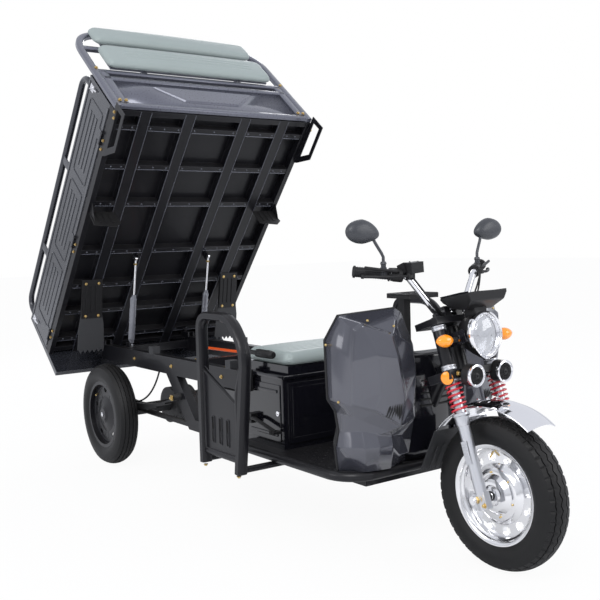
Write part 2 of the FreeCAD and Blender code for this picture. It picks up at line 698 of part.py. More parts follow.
def leafShape(side):
    """Curved leaves, longest on top, with rolled eyes and a clamp over the axle."""
    span = float(s.leaf_front + s.leaf_behind)
    sag = float(s.leaf_sag)
    curve = (span * span / 4 + sag * sag) / (2 * sag)
    middle = float(ahead((s.leaf_front - s.leaf_behind) / 2))
    low = float(s.leaf_front_height) - sag
    centre = Vector(0, middle, low + curve)
    width = float(s.leaf_width)
    x = float(s.leaf_half) * side - width / 2
    solids = []
    for number in range(int(s.leaf_count)):
        outer = curve + number * float(s.leaf_thick)
        share = 1 - number * 0.22
        half = math.degrees(math.asin(span / 2 / curve)) * share
        ring = Part.makeCylinder(outer + float(s.leaf_thick), width, Vector(x, centre.y, centre.z),
                                 Vector(1, 0, 0), half * 2)
        core = Part.makeCylinder(outer, width, Vector(x, centre.y, centre.z), Vector(1, 0, 0), 360)
        ring.rotate(centre, Vector(1, 0, 0), 180 - half)
        solids.append(ring.cut(core))
    for y in (ahead(s.leaf_front), s.rear_axle_y + s.leaf_behind):
        solids.append(Part.makeCylinder(float(s.leaf_eye), width,
                                        Vector(x, float(y), float(s.leaf_front_height)), Vector(1, 0, 0)))
    return solids[0].fuse(solids[1:])


def rearSuspension():
    shapes = []
    for side in (-1, 1):
        leaf = leafShape(side)
        for y in (ahead(s.leaf_front), s.rear_axle_y + s.leaf_behind):
            bore = Part.makeCylinder(float(s.front_axle_radius + s.pin_gap), 400,
                                     Vector(float(s.leaf_half) * side - 200, float(y),
                                            float(s.leaf_front_height)), Vector(1, 0, 0))
            leaf = leaf.cut(bore)
        shapes.append(leaf.removeSplitter())
    return keep(shaped("leaf_springs", Part.makeCompound(shapes)), "leaf_springs")


# Frame
def mainFrame():
    pieces = []
    railLow = s.rail_top - s.rail_height
    lowBottom = s.low_rail_top - s.low_rail_height
    for side in (-1, 1):
        pieces.append(bar(s.rail_half, s.rail_width, s.rail_ahead + s.rail_behind, s.rail_height,
                          s.rail_ahead, railLow, side))
        pieces.append(bar(s.rail_half, s.rail_width, (s.wheelbase - s.low_rail_back) - s.low_rail_behind,
                          s.low_rail_height, (s.wheelbase - s.low_rail_back), lowBottom, side))
        pieces.append(bar(s.rail_half, s.rail_width, s.post_width, s.rail_top - lowBottom,
                          s.rail_ahead, lowBottom, side))
        hanger = body("Hanger", (s.rail_half * side - s.rail_width / 2, 0, 0, 0))
        top = ahead(s.hanger_top_ahead)
        foot = ahead(s.low_rail_behind)
        pad(hanger, "YZ_Plane", [
            (top, railLow + 1), (foot, lowBottom), (foot - s.hanger_length, lowBottom),
            (top - s.hanger_length, railLow + 1),
        ], s.rail_width)
        pieces.append(hanger)
        for inner in (-1, 1):
            lugX = s.rail_half * side + (s.rail_width / 2 - 4) * inner
            pieces.append(box(8, s.hinge_behind - s.rail_behind + s.cross_size,
                              s.hinge_lug * 2, lugX - 4,
                              s.rear_axle_y + s.rail_behind - s.cross_size, s.hinge_height - s.hinge_lug))
            pieces.append(rod(s.hinge_lug, 8, lugX, s.rear_axle_y + s.hinge_behind, s.hinge_height))
        pieces.append(rod(s.hinge_pin, s.rail_width, s.rail_half * side,
                          s.rear_axle_y + s.hinge_behind, s.hinge_height))
        pieces.append(box(8, 40, 44, (s.rail_half - s.rail_width / 2 - 4) * side - 4,
                          s.rear_axle_y + s.strut_foot_behind - 20, s.strut_foot_height - 30))
        pinLength = s.rail_half - s.rail_width / 2 - s.strut_half + s.strut_eye_width / 2 + 2
        pinMiddle = s.strut_half - s.strut_eye_width / 2 - 2 + pinLength / 2
        pieces.append(rod(s.strut_pin, pinLength, pinMiddle * side,
                          s.rear_axle_y + s.strut_foot_behind, s.strut_foot_height))
        springPin = s.leaf_half + s.leaf_width / 2 + 4 - s.rail_half
        pieces.append(rod(s.front_axle_radius, springPin, (s.rail_half + springPin / 2) * side,
                          ahead(s.leaf_front), s.leaf_front_height))
    crossZ = s.rail_top - s.rail_height / 2 - s.cross_size / 2
    for front in (s.cross_size - s.rail_behind, s.hanger_top_ahead + s.hanger_length, s.rail_ahead):
        pieces.append(cross(s.rail_half, s.cross_size, s.cross_size, front, crossZ))
    pieces.append(cross(s.rail_half, s.cross_size, s.low_rail_height, (s.wheelbase - s.low_rail_back),
                        lowBottom))
    for front in (s.battery_ahead, s.battery_behind + s.cross_size):
        pieces.append(cross(s.rail_half, s.cross_size, s.cross_size / 2, front, lowBottom))
    lean = math.radians(s.fork_rake)
    axleY = float(ahead(s.wheelbase))

    def onStem(up):
        back = float(s.stem_setback)
        return Vector(0, axleY + back * math.cos(lean) + up * math.sin(lean),
                      float(s.tyre_radius) - back * math.sin(lean) + up * math.cos(lean))

    middle = onStem(float(s.head_tube_low + s.head_tube_high) / 2)
    foot = float(ahead(s.wheelbase - s.down_tube_foot_back))
    route = [(0, middle.y, middle.z), (0, middle.y + 96, middle.z - 150),
             (0, foot - 22, 420), (0, foot, s.low_rail_top - 6)]
    down = tube(route, s.down_tube_radius, s.down_tube_bend)
    head = Part.makeCylinder(float(s.head_tube_radius), float(s.head_tube_high - s.head_tube_low),
                             onStem(float(s.head_tube_low)),
                             Vector(0, math.sin(lean), math.cos(lean)))
    bore = Part.makeCylinder(float(s.stem_radius + s.running_gap), 400, onStem(300),
                             Vector(0, math.sin(lean), math.cos(lean)))
    neck = shaped("Neck", head.fuse(down).cut(bore))
    pieces.append(neck)
    for side in (-1, 1):
        for y in (ahead(s.hoop_rear), ahead(s.hoop_front)):
            reach = s.hoop_half - s.rail_half
            pieces.append(rod(s.guard_arm_radius, reach - s.hoop_radius,
                              (s.rail_half + reach / 2 - s.hoop_radius / 2) * side,
                              y, s.hoop_post_foot + s.guard_arm_radius))
    return keep(fuse("main_frame", pieces), "main_frame")


def restPads():
    pads = []
    for side in (-1, 1):
        for along in (605, 1317):
            pads.append(bar(s.rail_half, s.rail_width, s.rest_size, s.rest_height,
                            along - s.hinge_behind + s.rest_size / 2, s.rail_top, side))
    return keep(compound("bed_rest_pads", pads), "bed_rest_pads")


def footBoard():
    outer = s.floor_half
    front = ahead(s.wheelbase - s.floor_back)
    rear = ahead(s.battery_ahead + s.box_gap)
    corner = s.floor_corner
    sheetPiece = body("FloorSheet", (0, 0, s.low_rail_top, 0))
    notch = s.floor_notch_half
    pad(sheetPiece, "XY_Plane", [
        (-outer, rear), (outer, rear), (outer, front + corner, -corner),
        (outer - corner, front), (notch, front), (notch, front + s.floor_notch),
        (-notch, front + s.floor_notch), (-notch, front), (corner - outer, front, -corner),
        (-outer, front + corner),
    ], s.floor_sheet)
    height = s.low_rail_top - s.floor_rim / 2
    rim = tube([(-outer, rear, height), (-outer, front, height), (outer, front, height),
                (outer, rear, height)], s.floor_rim, corner)
    return keep(fuse("foot_board", [sheetPiece, shaped("FloorRim", rim)]), "foot_board")


def batteryCase():
    length = s.battery_ahead - s.battery_behind
    bottom = s.low_rail_top - s.low_rail_height + s.cross_size / 2
    return keep(box(s.battery_half * 2, length, s.battery_height, -s.battery_half,
                    ahead(s.battery_ahead), bottom), "battery_case")


# Driver's place
def seatBox():
    length = (s.battery_ahead + s.box_gap + s.seat_box_length) - (s.battery_ahead + s.box_gap)
    floor = s.low_rail_top + s.floor_sheet
    wall = s.seat_box_wall
    shell = box(s.seat_box_half * 2, length, s.seat_box_top - floor, -s.seat_box_half,
                ahead(s.battery_ahead + s.box_gap + s.seat_box_length), floor)
    space = box(s.seat_box_half * 2 - wall * 2, length - wall * 2, s.seat_box_top - floor - wall,
                wall - s.seat_box_half, ahead(s.battery_ahead + s.box_gap + s.seat_box_length) + wall, floor)
    hollow = cut("seat_box_shell", shell, [space])
    door = box(s.seat_box_half * 2 - 60, 6, s.seat_box_top - floor - 50, 30 - s.seat_box_half,
               ahead(s.battery_ahead + s.box_gap + s.seat_box_length) - 6, floor + 22)
    base = box(s.seat_half * 2 - 20, s.seat_front - s.seat_rear - 20, s.seat_base,
               10 - s.seat_half, ahead(s.seat_front) + 10, s.seat_box_top)
    return keep(fuse("seat_box", [hollow, door, base]), "seat_box")


def cushion(name, sizeX, sizeY, sizeZ, x, y, z, radius, frame=level):
    block = box(sizeX, sizeY, sizeZ, x, y, z)
    item = doc.addObject("Part::Fillet", name)
    item.Base = block
    doc.recompute()
    item.Edges = [(number + 1, float(radius), float(radius)) for number in range(12)]
    place(item, *frame)
    return keep(item, name)


def hipGuard(name, side):
    x = s.hoop_half * side
    route = [(x, ahead(s.hoop_rear), s.hoop_post_foot), (x, ahead(s.hoop_rear), s.hoop_top),
             (x, ahead(s.hoop_top_front), s.hoop_top),
             (x, ahead(s.hoop_bend_front), s.hoop_bend_height),
             (x, ahead(s.hoop_front), s.hoop_bend_height - 150),
             (x, ahead(s.hoop_front), s.hoop_post_foot)]
    hoop = tube(route, s.hoop_radius, s.hoop_bend_radius)
    panel = body("Panel", (x - s.hoop_panel / 2, 0, 0, 0))
    pad(panel, "YZ_Plane", [
        (ahead(s.hoop_rear), s.hoop_foot), (ahead(s.hoop_rear), s.hoop_panel_rear),
        (ahead(s.hoop_front), s.hoop_panel_front), (ahead(s.hoop_front), s.hoop_foot),
    ], s.hoop_panel)
    foot = rod(s.hoop_radius * 0.85, s.hoop_front - s.hoop_rear, x,
               ahead(s.hoop_rear / 2 + s.hoop_front / 2),
               s.hoop_foot, "y")
    return keep(fuse(name, [shaped("Hoop", hoop), panel, foot]), name)


def wingShape(side, inset):
    """Lofts the leg shield's wing through outlines at four heights."""
    # height, then x and distance ahead of five corners from the outer rear to the inner rear
    levels = [
        (s.wing_bottom, [(338, 1742), (346, 1786), (290, 1862), (196, 1874), (164, 1790)]),
        (s.wing_bottom + 50, [(372, 1744), (382, 1790), (310, 1886), (188, 1900), (146, 1790)]),
        (s.wing_bottom + 400, [(392, 1758), (402, 1802), (300, 1912), (136, 1930), (116, 1806)]),
        (s.wing_bottom + 550, [(352, 1812), (362, 1838), (300, 1918), (216, 1926), (200, 1862)]),
    ]
    wires = []
    for height, corners in levels:
        middleX = sum(x for x, y in corners) / 5
        middleY = sum(y for x, y in corners) / 5
        points = []
        for x, y in corners:
            run = Vector(x - middleX, y - middleY, 0)
            run = run * ((run.Length - inset) / run.Length)
            forward = float(s.wheelbase) - 2186 + middleY + run.y
            points.append(Vector((middleX + run.x) * side, float(ahead(forward)), float(height)))
        wires.append(Part.makePolygon(points + [points[0]]))
    return Part.makeLoft(wires, True, True)


def shieldWing(name, side):
    outer = wingShape(side, 0)
    inner = wingShape(side, float(s.wing_wall) * 1.5)
    rearOpening = inner.fuse(inner.translated(Vector(0, 40, 0))).common(
        Part.makeBox(1000, 600, float(s.wing_bottom) + 520, Vector(-500, float(ahead(2000)), 0)))
    shell = outer.cut(rearOpening)
    return keep(shaped(name, shell), name)


def shieldCentre():
    panel = box(s.centre_panel_half * 2, s.wing_wall, s.centre_panel_top - s.low_rail_top - s.floor_sheet,
                -s.centre_panel_half, ahead((s.wheelbase - s.centre_panel_back) + s.wing_wall),
                s.low_rail_top + s.floor_sheet)
    return keep(fuse("shield_centre", [panel]), "shield_centre")


def dashConsole():
    floor = s.low_rail_top + s.floor_sheet
    rear = ahead((s.wheelbase - s.console_back) - s.console_length)
    post = box(s.console_post, s.console_post, s.console_top - floor - 12, -s.console_post / 2,
               rear - s.console_post, floor)
    tray = box(s.console_half * 2, s.console_length, 14, -s.console_half,
               ahead(s.wheelbase - s.console_back),
               s.console_top - 14)
    return keep(fuse("dash_console", [post, tray]), "dash_console")


# Fork and controls, in the fork's own frame
def forkLeg(name, side):
    x = s.leg_half * side
    y = -s.leg_forward
    slider = rod(s.slider_radius, s.slider_top + s.slider_foot, x, y,
                 (s.slider_top - s.slider_foot) / 2, "z")
    collar = rod(s.spring_radius + s.spring_wire, 6, x, y, s.slider_top, "z")
    reach = s.yoke_high + s.yoke_high_height - s.slider_top + 8
    inner = rod(s.tube_radius, reach, x, y, s.slider_top - 8 + reach / 2, "z")
    lug = rod(s.slider_radius, 40, x, 0, 0)
    solid = fuse("Leg", [slider, collar, inner, lug])
    hole = rod(s.front_axle_radius + s.pin_gap / 2, 120, x, 0, 0)
    return keep(cut(name, solid, [hole], forkFrame), name)


def forkYokes():
    x = s.leg_half + s.tube_radius + s.yoke_edge
    front = s.leg_forward + s.tube_radius + s.yoke_edge
    depth = front + s.stem_setback + s.stem_radius + s.yoke_edge
    plates = [
        box(x * 2, depth, s.yoke_low_height, -x, -front, s.yoke_low),
        box(x * 2, depth, s.yoke_high_height, -x, -front, s.yoke_high),
        rod(s.stem_radius, s.yoke_high - s.yoke_low, 0, s.stem_setback,
            (s.yoke_high + s.yoke_low) / 2, "z"),
    ]
    for side in (-1, 1):
        plates.append(box(28, 40, s.bar_clamp_up - s.yoke_high - s.yoke_high_height + s.bar_radius + 6,
                          s.bar_clamp_half * 0.42 * side - 14, s.bar_clamp_back - 20,
                          s.yoke_high + s.yoke_high_height))
    solid = fuse("Yokes", plates)
    bores = [rod(s.tube_radius + s.pin_gap / 2, 800, s.leg_half * side, -s.leg_forward, 300, "z")
             for side in (-1, 1)]
    bores.append(rod(s.bar_radius + s.pin_gap / 2, 400, 0, s.bar_clamp_back, s.bar_clamp_up))
    return keep(cut("fork_yokes", solid, bores, forkFrame), "fork_yokes")


def forkSprings():
    shapes = []
    low = float(s.slider_top) + 3 + float(s.spring_wire) + 0.3
    high = float(s.yoke_low) - float(s.spring_wire) - 0.3
    foot = float(s.slider_top) + 3.3
    inner = float(s.tube_radius) + 0.3
    outer = float(s.spring_radius) - float(s.spring_wire) / 2
    for side in (-1, 1):
        at = Vector(float(s.leg_half) * side, -float(s.leg_forward), foot)
        sleeve = Part.makeCylinder(outer, float(s.yoke_low) - 0.3 - foot, at)
        sleeve = sleeve.cut(Part.makeCylinder(inner, 400, at))
        rings = []
        for number in range(int(s.spring_turns) + 1):
            height = low + (high - low) * number / float(s.spring_turns)
            ring = Part.makeTorus(float(s.spring_radius), float(s.spring_wire),
                                  Vector(float(s.leg_half) * side, -float(s.leg_forward), height))
            rings.append(ring)
        shapes.append(sleeve.fuse(rings))
    return keep(shaped("fork_springs", Part.makeCompound(shapes), forkFrame), "fork_springs")


def frontAxle():
    shaft = rod(s.front_axle_radius, s.front_axle_half * 2, 0, 0, 0)
    nuts = [rod(14, 12, (s.front_axle_half - 8) * side, 0, 0) for side in (-1, 1)]
    spacers = [rod(14, s.leg_half - 20 - s.front_hub_half - 2,
                   (s.leg_half - 20 + s.front_hub_half) / 2 * side, 0, 0)
               for side in (-1, 1)]
    return keep(fuse("front_axle", [shaft] + nuts + spacers, forkFrame), "front_axle")


def mudguard():
    name = "front_mudguard"
    turn = 180 - s.guard_rear
    owner = body("Crown", (0, ahead(s.wheelbase), s.tyre_radius, turn))
    half = s.guard_width / 2
    edge = s.guard_radius - s.guard_edge_drop
    curve = (half * half + s.guard_edge_drop * s.guard_edge_drop) / (s.guard_edge_drop * 2)
    revolve(owner, [
        (-half, edge, curve),
        (half, edge),
        (half, edge - s.guard_sheet, -curve),
        (-half, edge - s.guard_sheet),
    ], s.guard_rear - s.guard_front)
    reach = s.leg_half - s.slider_radius - s.pin_gap / 2
    stays = [box(reach * 2, s.stay_width, s.stay_sheet, -reach, -s.leg_forward - s.stay_width / 2,
                 s.stay_up)]
    for side in (-1, 1):
        x = half * 0.7 * side
        rise = s.guard_radius - s.guard_edge_drop * 0.55 - s.guard_sheet / 2 - s.stay_up
        stays.append(box(s.stay_sheet, s.stay_width, rise, x - s.stay_sheet / 2,
                         -s.leg_forward - s.stay_width / 2, s.stay_up))
    return keep(fuse(name, [owner, fuse("Stays", stays, forkFrame)]), name)


def frontFlap():
    name = "front_mud_flap"
    angle = math.radians(float(s.guard_rear))
    reach = float(s.guard_radius - s.guard_edge_drop) - float(s.guard_sheet) - 1.7
    y = s.rear_axle_y - s.wheelbase - reach * math.cos(angle)
    z = s.tyre_radius + reach * math.sin(angle)
    owner = body(name, (0, y, z, -64))
    half = s.front_flap_half
    length = s.front_flap_length
    teeth = 6
    points = [(-half, 6), (half, 6)]
    points += [(half, -length)]
    for number in range(teeth):
        points.append((half - half * 2 * (number + 0.5) / teeth, 14 - length))
        points.append((half - half * 2 * (number + 1) / teeth, -length))
    pad(owner, "XY_Plane", [(u, -v) for u, v in points], s.flap_sheet, reversed=True)
    return keep(owner, name)


def handlebar():
    route = []
    for side in (-1, 1):
        half = [(s.bar_half * side, s.bar_end_back, s.bar_end_up),
                (s.bar_bend_half * side, s.bar_bend_back, s.bar_bend_up),
                (s.bar_clamp_half * side, s.bar_clamp_back, s.bar_clamp_up)]
        route += half if side < 0 else half[::-1]
    return keep(shaped("handlebar", tube(route, s.bar_radius, s.bar_bend_radius), forkFrame), "handlebar")


def handControls(name, side):
    end = Vector(float(s.bar_half) * side, float(s.bar_end_back), float(s.bar_end_up))
    bend = Vector(float(s.bar_bend_half) * side, float(s.bar_bend_back), float(s.bar_bend_up))
    way = (bend - end).normalize()
    cap = end - way * 4
    bore = Part.makeCylinder(float(s.bar_radius + s.pin_gap / 2), float(s.grip_length) + 90, end, way)
    grip = Part.makeCylinder(float(s.grip_radius), float(s.grip_length) + 4, cap, way)
    perchAt = end + way * (float(s.grip_length) + 2)
    perch = Part.makeCylinder(float(s.grip_radius) + 4, 30, perchAt, way)
    forward = Vector(0, -1, 0)
    pivot = perchAt + way * 18 + forward * 30
    tip = end + forward * 44 + way * 6
    lever = tube([tuple(perchAt + way * 18), tuple(pivot), tuple(tip)], s.lever_radius, 16)
    solid = grip.fuse([perch, lever]).cut(bore)
    if side < 0:
        reservoir = Part.makeBox(44, 34, 34, Vector(-22, -17, 0))
        reservoir.Placement = Placement(perchAt + way * 52 + Vector(0, -6, 6), Rotation())
        solid = solid.fuse(reservoir).cut(bore)
    return keep(shaped(name, solid, forkFrame), name)


def mirror(name, side):
    axle = Vector(0, float(ahead(s.wheelbase)), float(s.tyre_radius))
    end = Vector(float(s.bar_half) * side, float(s.bar_end_back), float(s.bar_end_up))
    bend = Vector(float(s.bar_bend_half) * side, float(s.bar_bend_back), float(s.bar_bend_up))
    way = (bend - end).normalize()
    seat = end + way * (float(s.grip_length) + 18) + Vector(0, 0, 1) * (float(s.grip_radius) + 7)
    foot = axle + Rotation(Vector(1, 0, 0), -float(s.fork_rake)).multVec(seat)
    head = Vector(float(s.mirror_half) * side, float(ahead(s.wheelbase - s.mirror_back)),
                  float(s.mirror_height))
    knee = foot + Vector(0, 0, 62)
    reach = head + Vector(-34 * side, 8, -14) - knee
    radius = float(s.mirror_stem)
    stem = Part.makeCylinder(radius, (knee - foot).Length, foot, knee - foot)
    stem = stem.fuse([Part.makeSphere(radius, knee), Part.makeCylinder(radius, reach.Length, knee, reach)])
    shell = body("MirrorHead", (s.mirror_half * side, ahead(s.wheelbase - s.mirror_back), s.mirror_height,
                                0))
    narrow = s.mirror_wide * 0.62
    high = s.mirror_tall * 0.78
    low = s.mirror_tall
    pad(shell, "XZ_Plane", [
        (-narrow, low * 0.8, s.mirror_wide * 2), (narrow, high, s.mirror_tall * 1.1),
        (s.mirror_wide, 0, s.mirror_tall * 1.1), (narrow, -low * 0.8, s.mirror_wide * 2),
        (-narrow, -high, s.mirror_tall * 1.1), (-s.mirror_wide, 0, s.mirror_tall * 1.1),
    ], s.mirror_deep * 2, midplane=True)
    return keep(fuse(name, [shell, shaped("MirrorStem", stem)]), name)


# Lamps and horns on the fork
def lampEars():
    """Clamps on the fork tubes and the plates from them to the headlight's sides."""
    pieces = []
    for side in (-1, 1):
        pieces.append(box(s.ear_wide, s.ear_reach, s.ear_tall, s.ear_half * side - s.ear_wide / 2,
                          -s.leg_forward - s.ear_reach, s.ear_up - s.ear_tall / 2))
        clamp = rod(s.leg_half - s.ear_half - s.ear_wide / 2 + 1, s.ear_tall, s.leg_half * side,
                    -s.leg_forward, s.ear_up, "z")
        bore = rod(s.tube_radius + s.pin_gap / 2, s.ear_tall * 2, s.leg_half * side,
                   -s.leg_forward, s.ear_up, "z")
        pieces.append(cut("EarClamp", clamp, [bore]))
        pieces.append(rod(s.ear_bolt, s.ear_half - s.lamp_half_wide * 0.75,
                          (s.ear_half + s.lamp_half_wide * 0.75) / 2 * side,
                          s.ear_bolt * 2 - s.leg_forward - s.ear_reach, s.ear_up))
    return fuse("LampEars", pieces, forkFrame)


def lampVisor():
    """Wedge over the headlight, with the block that carries it on the lamp's shell."""
    front = float(s.wheelbase - s.visor_back)
    long = float(s.visor_length)
    half = float(s.visor_half)
    top = float(s.visor_top)
    deep = float(s.visor_depth)

    def section(forward, wide, high, thick):
        y = float(ahead(forward))
        corners = [(-wide, high), (wide, high), (wide, high - thick * 0.3), (wide * 0.6, high - thick),
                   (-wide * 0.6, high - thick), (-wide, high - thick * 0.3)]
        points = [Vector(x, y, z) for x, z in corners]
        return Part.makePolygon(points + [points[0]])

    wedge = Part.makeLoft([section(front - long, half * 0.58, top - long * 0.17, deep * 0.4),
                           section(front - long * 0.55, half * 0.78, top - long * 0.095, deep),
                           section(front, half, top, deep * 0.5)], True, True)
    foot = Part.makeBox(half * 0.7, long * 0.25, deep, Vector(-half * 0.35, float(ahead(front - long * 0.2)),
                                                             top - deep * 1.8))
    return [shaped("VisorShell", wedge), shaped("VisorFoot", foot)]


def headlight():
    face = float(ahead(s.wheelbase - s.lamp_back))
    height = float(s.lamp_height)
    depth = float(s.lamp_depth)
    tall = float(s.lamp_half_tall)
    wide = float(s.lamp_half_wide)

    def ring(y, halfTall, halfWide):
        curve = Part.Ellipse(Vector(0, y, height), halfTall, halfWide)
        edge = curve.toShape()
        edge.rotate(Vector(0, y, height), Vector(1, 0, 0), 90)
        edge.rotate(Vector(0, y, height), Vector(0, 1, 0), 90)
        return Part.Wire([edge])

    back = float(s.lamp_back_radius)
    shell = Part.makeLoft([ring(face, tall, wide), ring(face + depth * 0.45, tall * 0.92, wide * 0.92),
                           ring(face + depth, back * 1.01, back)], True, True)
    keep(fuse("headlight_shell", [shaped("LampShell", shell), lampEars()] + lampVisor()), "headlight_shell")
    rise = float(s.lens_rise)
    lens = Part.makeLoft([ring(face - 0.3, tall - 8, wide - 8), ring(face - 0.3 - rise, tall * 0.6,
                                                                     wide * 0.6)],
                         True, True)
    keep(shaped("headlight_lens", lens), "headlight_lens")


def horns():
    face = ahead(s.wheelbase - s.horn_back)
    pieces = []
    for side in (-1, 1):
        pieces.append(rod(s.horn_radius, s.horn_depth, s.horn_half * side, face + s.horn_depth / 2,
                          s.horn_height, "y"))
    front = s.leg_forward + s.tube_radius + s.yoke_edge
    bracket = box(s.horn_half * 2, s.horn_bracket, s.yoke_low_height - 6, -s.horn_half,
                  -front - s.horn_bracket, s.yoke_low + 3)
    pieces.append(fuse("HornBracket", [bracket], forkFrame))
    return keep(fuse("horns", pieces), "horns")


def blinkers():
    pieces = []
    for side in (-1, 1):
        drop = body("Drop")
        place(drop, (s.blinker_reach - s.blinker_wide) * side, ahead(s.wheelbase - s.blinker_back),
              s.blinker_height,
              90 - 90 * side, (0, 0, 1))
        wide = s.blinker_wide
        tall = s.blinker_tall
        ends = [(-wide, 0), (-wide, s.blinker_stalk * 1.4, wide * 1.5), (-wide * 0.2, tall, wide * 1.7),
                (wide * 0.94, tall * 0.3, tall * 0.5), (wide, 0)]
        revolve(drop, ends)
        inner = s.ear_half + s.ear_wide / 2
        outer = s.blinker_reach - s.blinker_wide
        stalk = rod(s.blinker_stalk, outer - inner, (outer + inner) / 2 * side,
                    ahead(s.wheelbase - s.blinker_back),
                    s.blinker_height)
        pieces += [fuse("Blinker", [drop, stalk])]
    return keep(compound("front_indicators", pieces), "front_indicators")


# Bed, in its own frame: x, -along, over + hinge drop
gateLine = hinge + s.rib_depth + s.bed_sheet + 2
gateHinges = (20, 640, 1230)
tailLine = hinge + s.rib_depth + s.bed_sheet + 2
tailHinges = (-330, 330)


def bedBlock(sizeX, sizeAlong, sizeOver, x, along, over):
    """A block by its least x, its least distance along the bed and its bottom over the ribs."""
    return box(sizeX, sizeAlong, sizeOver, x, -(along + sizeAlong), hinge + over)


def bedFloor():
    rear = -s.bed_rear + s.wall_thick
    length = s.bed_front - s.wall_thick - rear
    inside = s.bed_half - s.wall_thick
    pieces = [bedBlock(s.bed_half * 2, length, s.bed_sheet, -s.bed_half, rear, s.rib_depth)]
    for x in (-s.member_outer, -s.member_inner, s.member_inner, s.member_outer):
        pieces.append(bedBlock(s.member_width, length, s.rib_depth, x - s.member_width / 2, rear, 0))
    for along in (-50, 20, 208, 387, 605, 897, 1108, 1317, 1390):
        pieces.append(bedBlock(s.bed_half * 2, s.rib_width, s.rib_depth, -s.bed_half, along - 13, 0))
    for side in (-1, 1):
        pieces.append(bedBlock(s.wall_thick, length, s.rib_depth,
                               (s.bed_half - s.wall_thick / 2) * side - s.wall_thick / 2,
                               rear, -4))
        pieces.append(box(s.hinge_lug_width, s.hinge_lug * 2, hinge + 4,
                          s.rail_half * side - s.hinge_lug_width / 2, -s.hinge_lug, 0))
        pieces.append(rod(s.hinge_lug, s.hinge_lug_width, s.rail_half * side, 0, 0))
        plateX = (s.strut_half - s.strut_eye_width / 2 - 6) * side
        pieces.append(bedBlock(6, 40, s.strut_eye_under + 14, plateX - 3, s.strut_eye_along - 20,
                               -s.strut_eye_under - 10))
        pieces.append(rod(s.strut_pin, 4, plateX, -s.strut_eye_along, hinge - s.strut_eye_under))
        pieces.append(bedBlock(60, 40, 4, plateX - (44 if side > 0 else 16), s.strut_eye_along - 20, 0))
        for along in gateHinges:
            for end in (-1, 1):
                wide = s.gate_pin_out + s.gate_pin + 1
                middle = (s.gate_knuckle / 2 + s.gate_ear / 2 + 1) * end - along
                pieces.append(box(wide, s.gate_ear, s.gate_pin * 3,
                                  (s.bed_half + wide / 2) * side - wide / 2,
                                  middle - s.gate_ear / 2, gateLine - s.gate_pin * 3.8))
                pieces.append(rod(s.gate_pin + 1.2, s.gate_ear, (s.bed_half + s.gate_pin_out) * side, middle,
                                  gateLine, "y"))
            pieces.append(rod(s.gate_pin, s.gate_knuckle + s.gate_ear * 2,
                              (s.bed_half + s.gate_pin_out) * side,
                              -along, gateLine, "y"))
    solid = fuse("Floor", pieces)
    bore = [rod(s.hinge_pin + s.pin_gap, s.hinge_lug_width + 4, s.rail_half * side, 0, 0) for side in (-1,
                                                                                                       1)]
    return keep(cut("bed_floor", solid, bore, bedFrame), "bed_floor")


def headboard():
    owner = body("headboard", bedFrame)
    half = s.bed_half
    top = s.board_height + hinge
    corner = s.board_corner
    low = hinge + 0
    offset = s.bed_front
    frontPad = pad(owner, "XZ_Plane", [
        (-half, low), (half, low), (half, top - corner, -corner), (half - corner, top),
        (corner - half, top, -corner), (-half, top - corner),
    ], s.wall_thick, reversed=True)
    frontPad.Profile[0].AttachmentOffset = Placement(Vector(0, 0, float(offset)), Rotation())
    frontPad.Profile[0].setExpression(".AttachmentOffset.Base.z", offset.formula)
    return keep(owner, "headboard")


def rearFrame():
    """The fixed skirt under the tailgate and the corner posts beside it."""
    pieces = [bedBlock(s.bed_half * 2, s.wall_thick, s.skirt_drop + s.rib_depth + s.bed_sheet - 6,
                       -s.bed_half,
                       -s.bed_rear, -s.skirt_drop)]
    for x in tailHinges:
        for end in (-1, 1):
            middle = x + (s.gate_knuckle / 2 + s.gate_ear / 2 + 1) * end
            pieces.append(box(s.gate_ear, s.gate_pin_out + s.gate_pin, s.gate_pin * 4,
                              middle - s.gate_ear / 2,
                              s.bed_rear, tailLine - s.gate_pin * 4.8))
            pieces.append(rod(s.gate_pin + 0.8, s.gate_ear, middle, s.bed_rear + s.gate_pin_out, tailLine))
        pieces.append(rod(s.gate_pin, s.gate_knuckle + s.gate_ear * 2, x, s.bed_rear + s.gate_pin_out,
                          tailLine))
    for side in (-1, 1):
        pieces.append(bedBlock(s.wall_thick, s.wall_thick, s.skirt_drop + s.gate_top,
                               (s.bed_half - s.wall_thick / 2) * side - s.wall_thick / 2,
                               -s.bed_rear, -s.skirt_drop))
    return keep(fuse("rear_frame", pieces, bedFrame), "rear_frame")


def tailLamps():
    lamps = []
    for side in (-1, 1):
        lamps.append(bedBlock(s.tail_lamp_long, s.tail_lamp_deep, s.tail_lamp_tall,
                              (s.bed_half - s.tail_lamp_long / 2 - 40) * side - s.tail_lamp_long / 2,
                              -s.bed_rear - s.tail_lamp_deep, -s.skirt_drop / 2 - s.tail_lamp_tall / 2))
    return keep(compound("tail_lamps", lamps, bedFrame), "tail_lamps")


def tailgate():
    inside = s.bed_half - s.wall_thick - s.gate_clearance
    low = s.rib_depth + s.bed_sheet
    pieces = [bedBlock(inside * 2, s.wall_thick, s.gate_top - low, -inside, -s.bed_rear, low + s.gate_lift)]
    for x in tailHinges:
        knuckle = rod(s.gate_pin + 2, s.gate_knuckle, x, s.bed_rear + s.gate_pin_out, tailLine)
        strap = box(s.gate_knuckle, 3, s.gate_strap, x - s.gate_knuckle / 2, s.bed_rear, tailLine)
        bore = rod(s.gate_pin + s.pin_gap, s.gate_knuckle * 2, x, s.bed_rear + s.gate_pin_out, tailLine)
        pieces.append(cut("TailHinge", fuse("Knuckle", [knuckle, strap]), [bore]))
    return keep(fuse("tailgate", pieces, bedFrame), "tailgate")


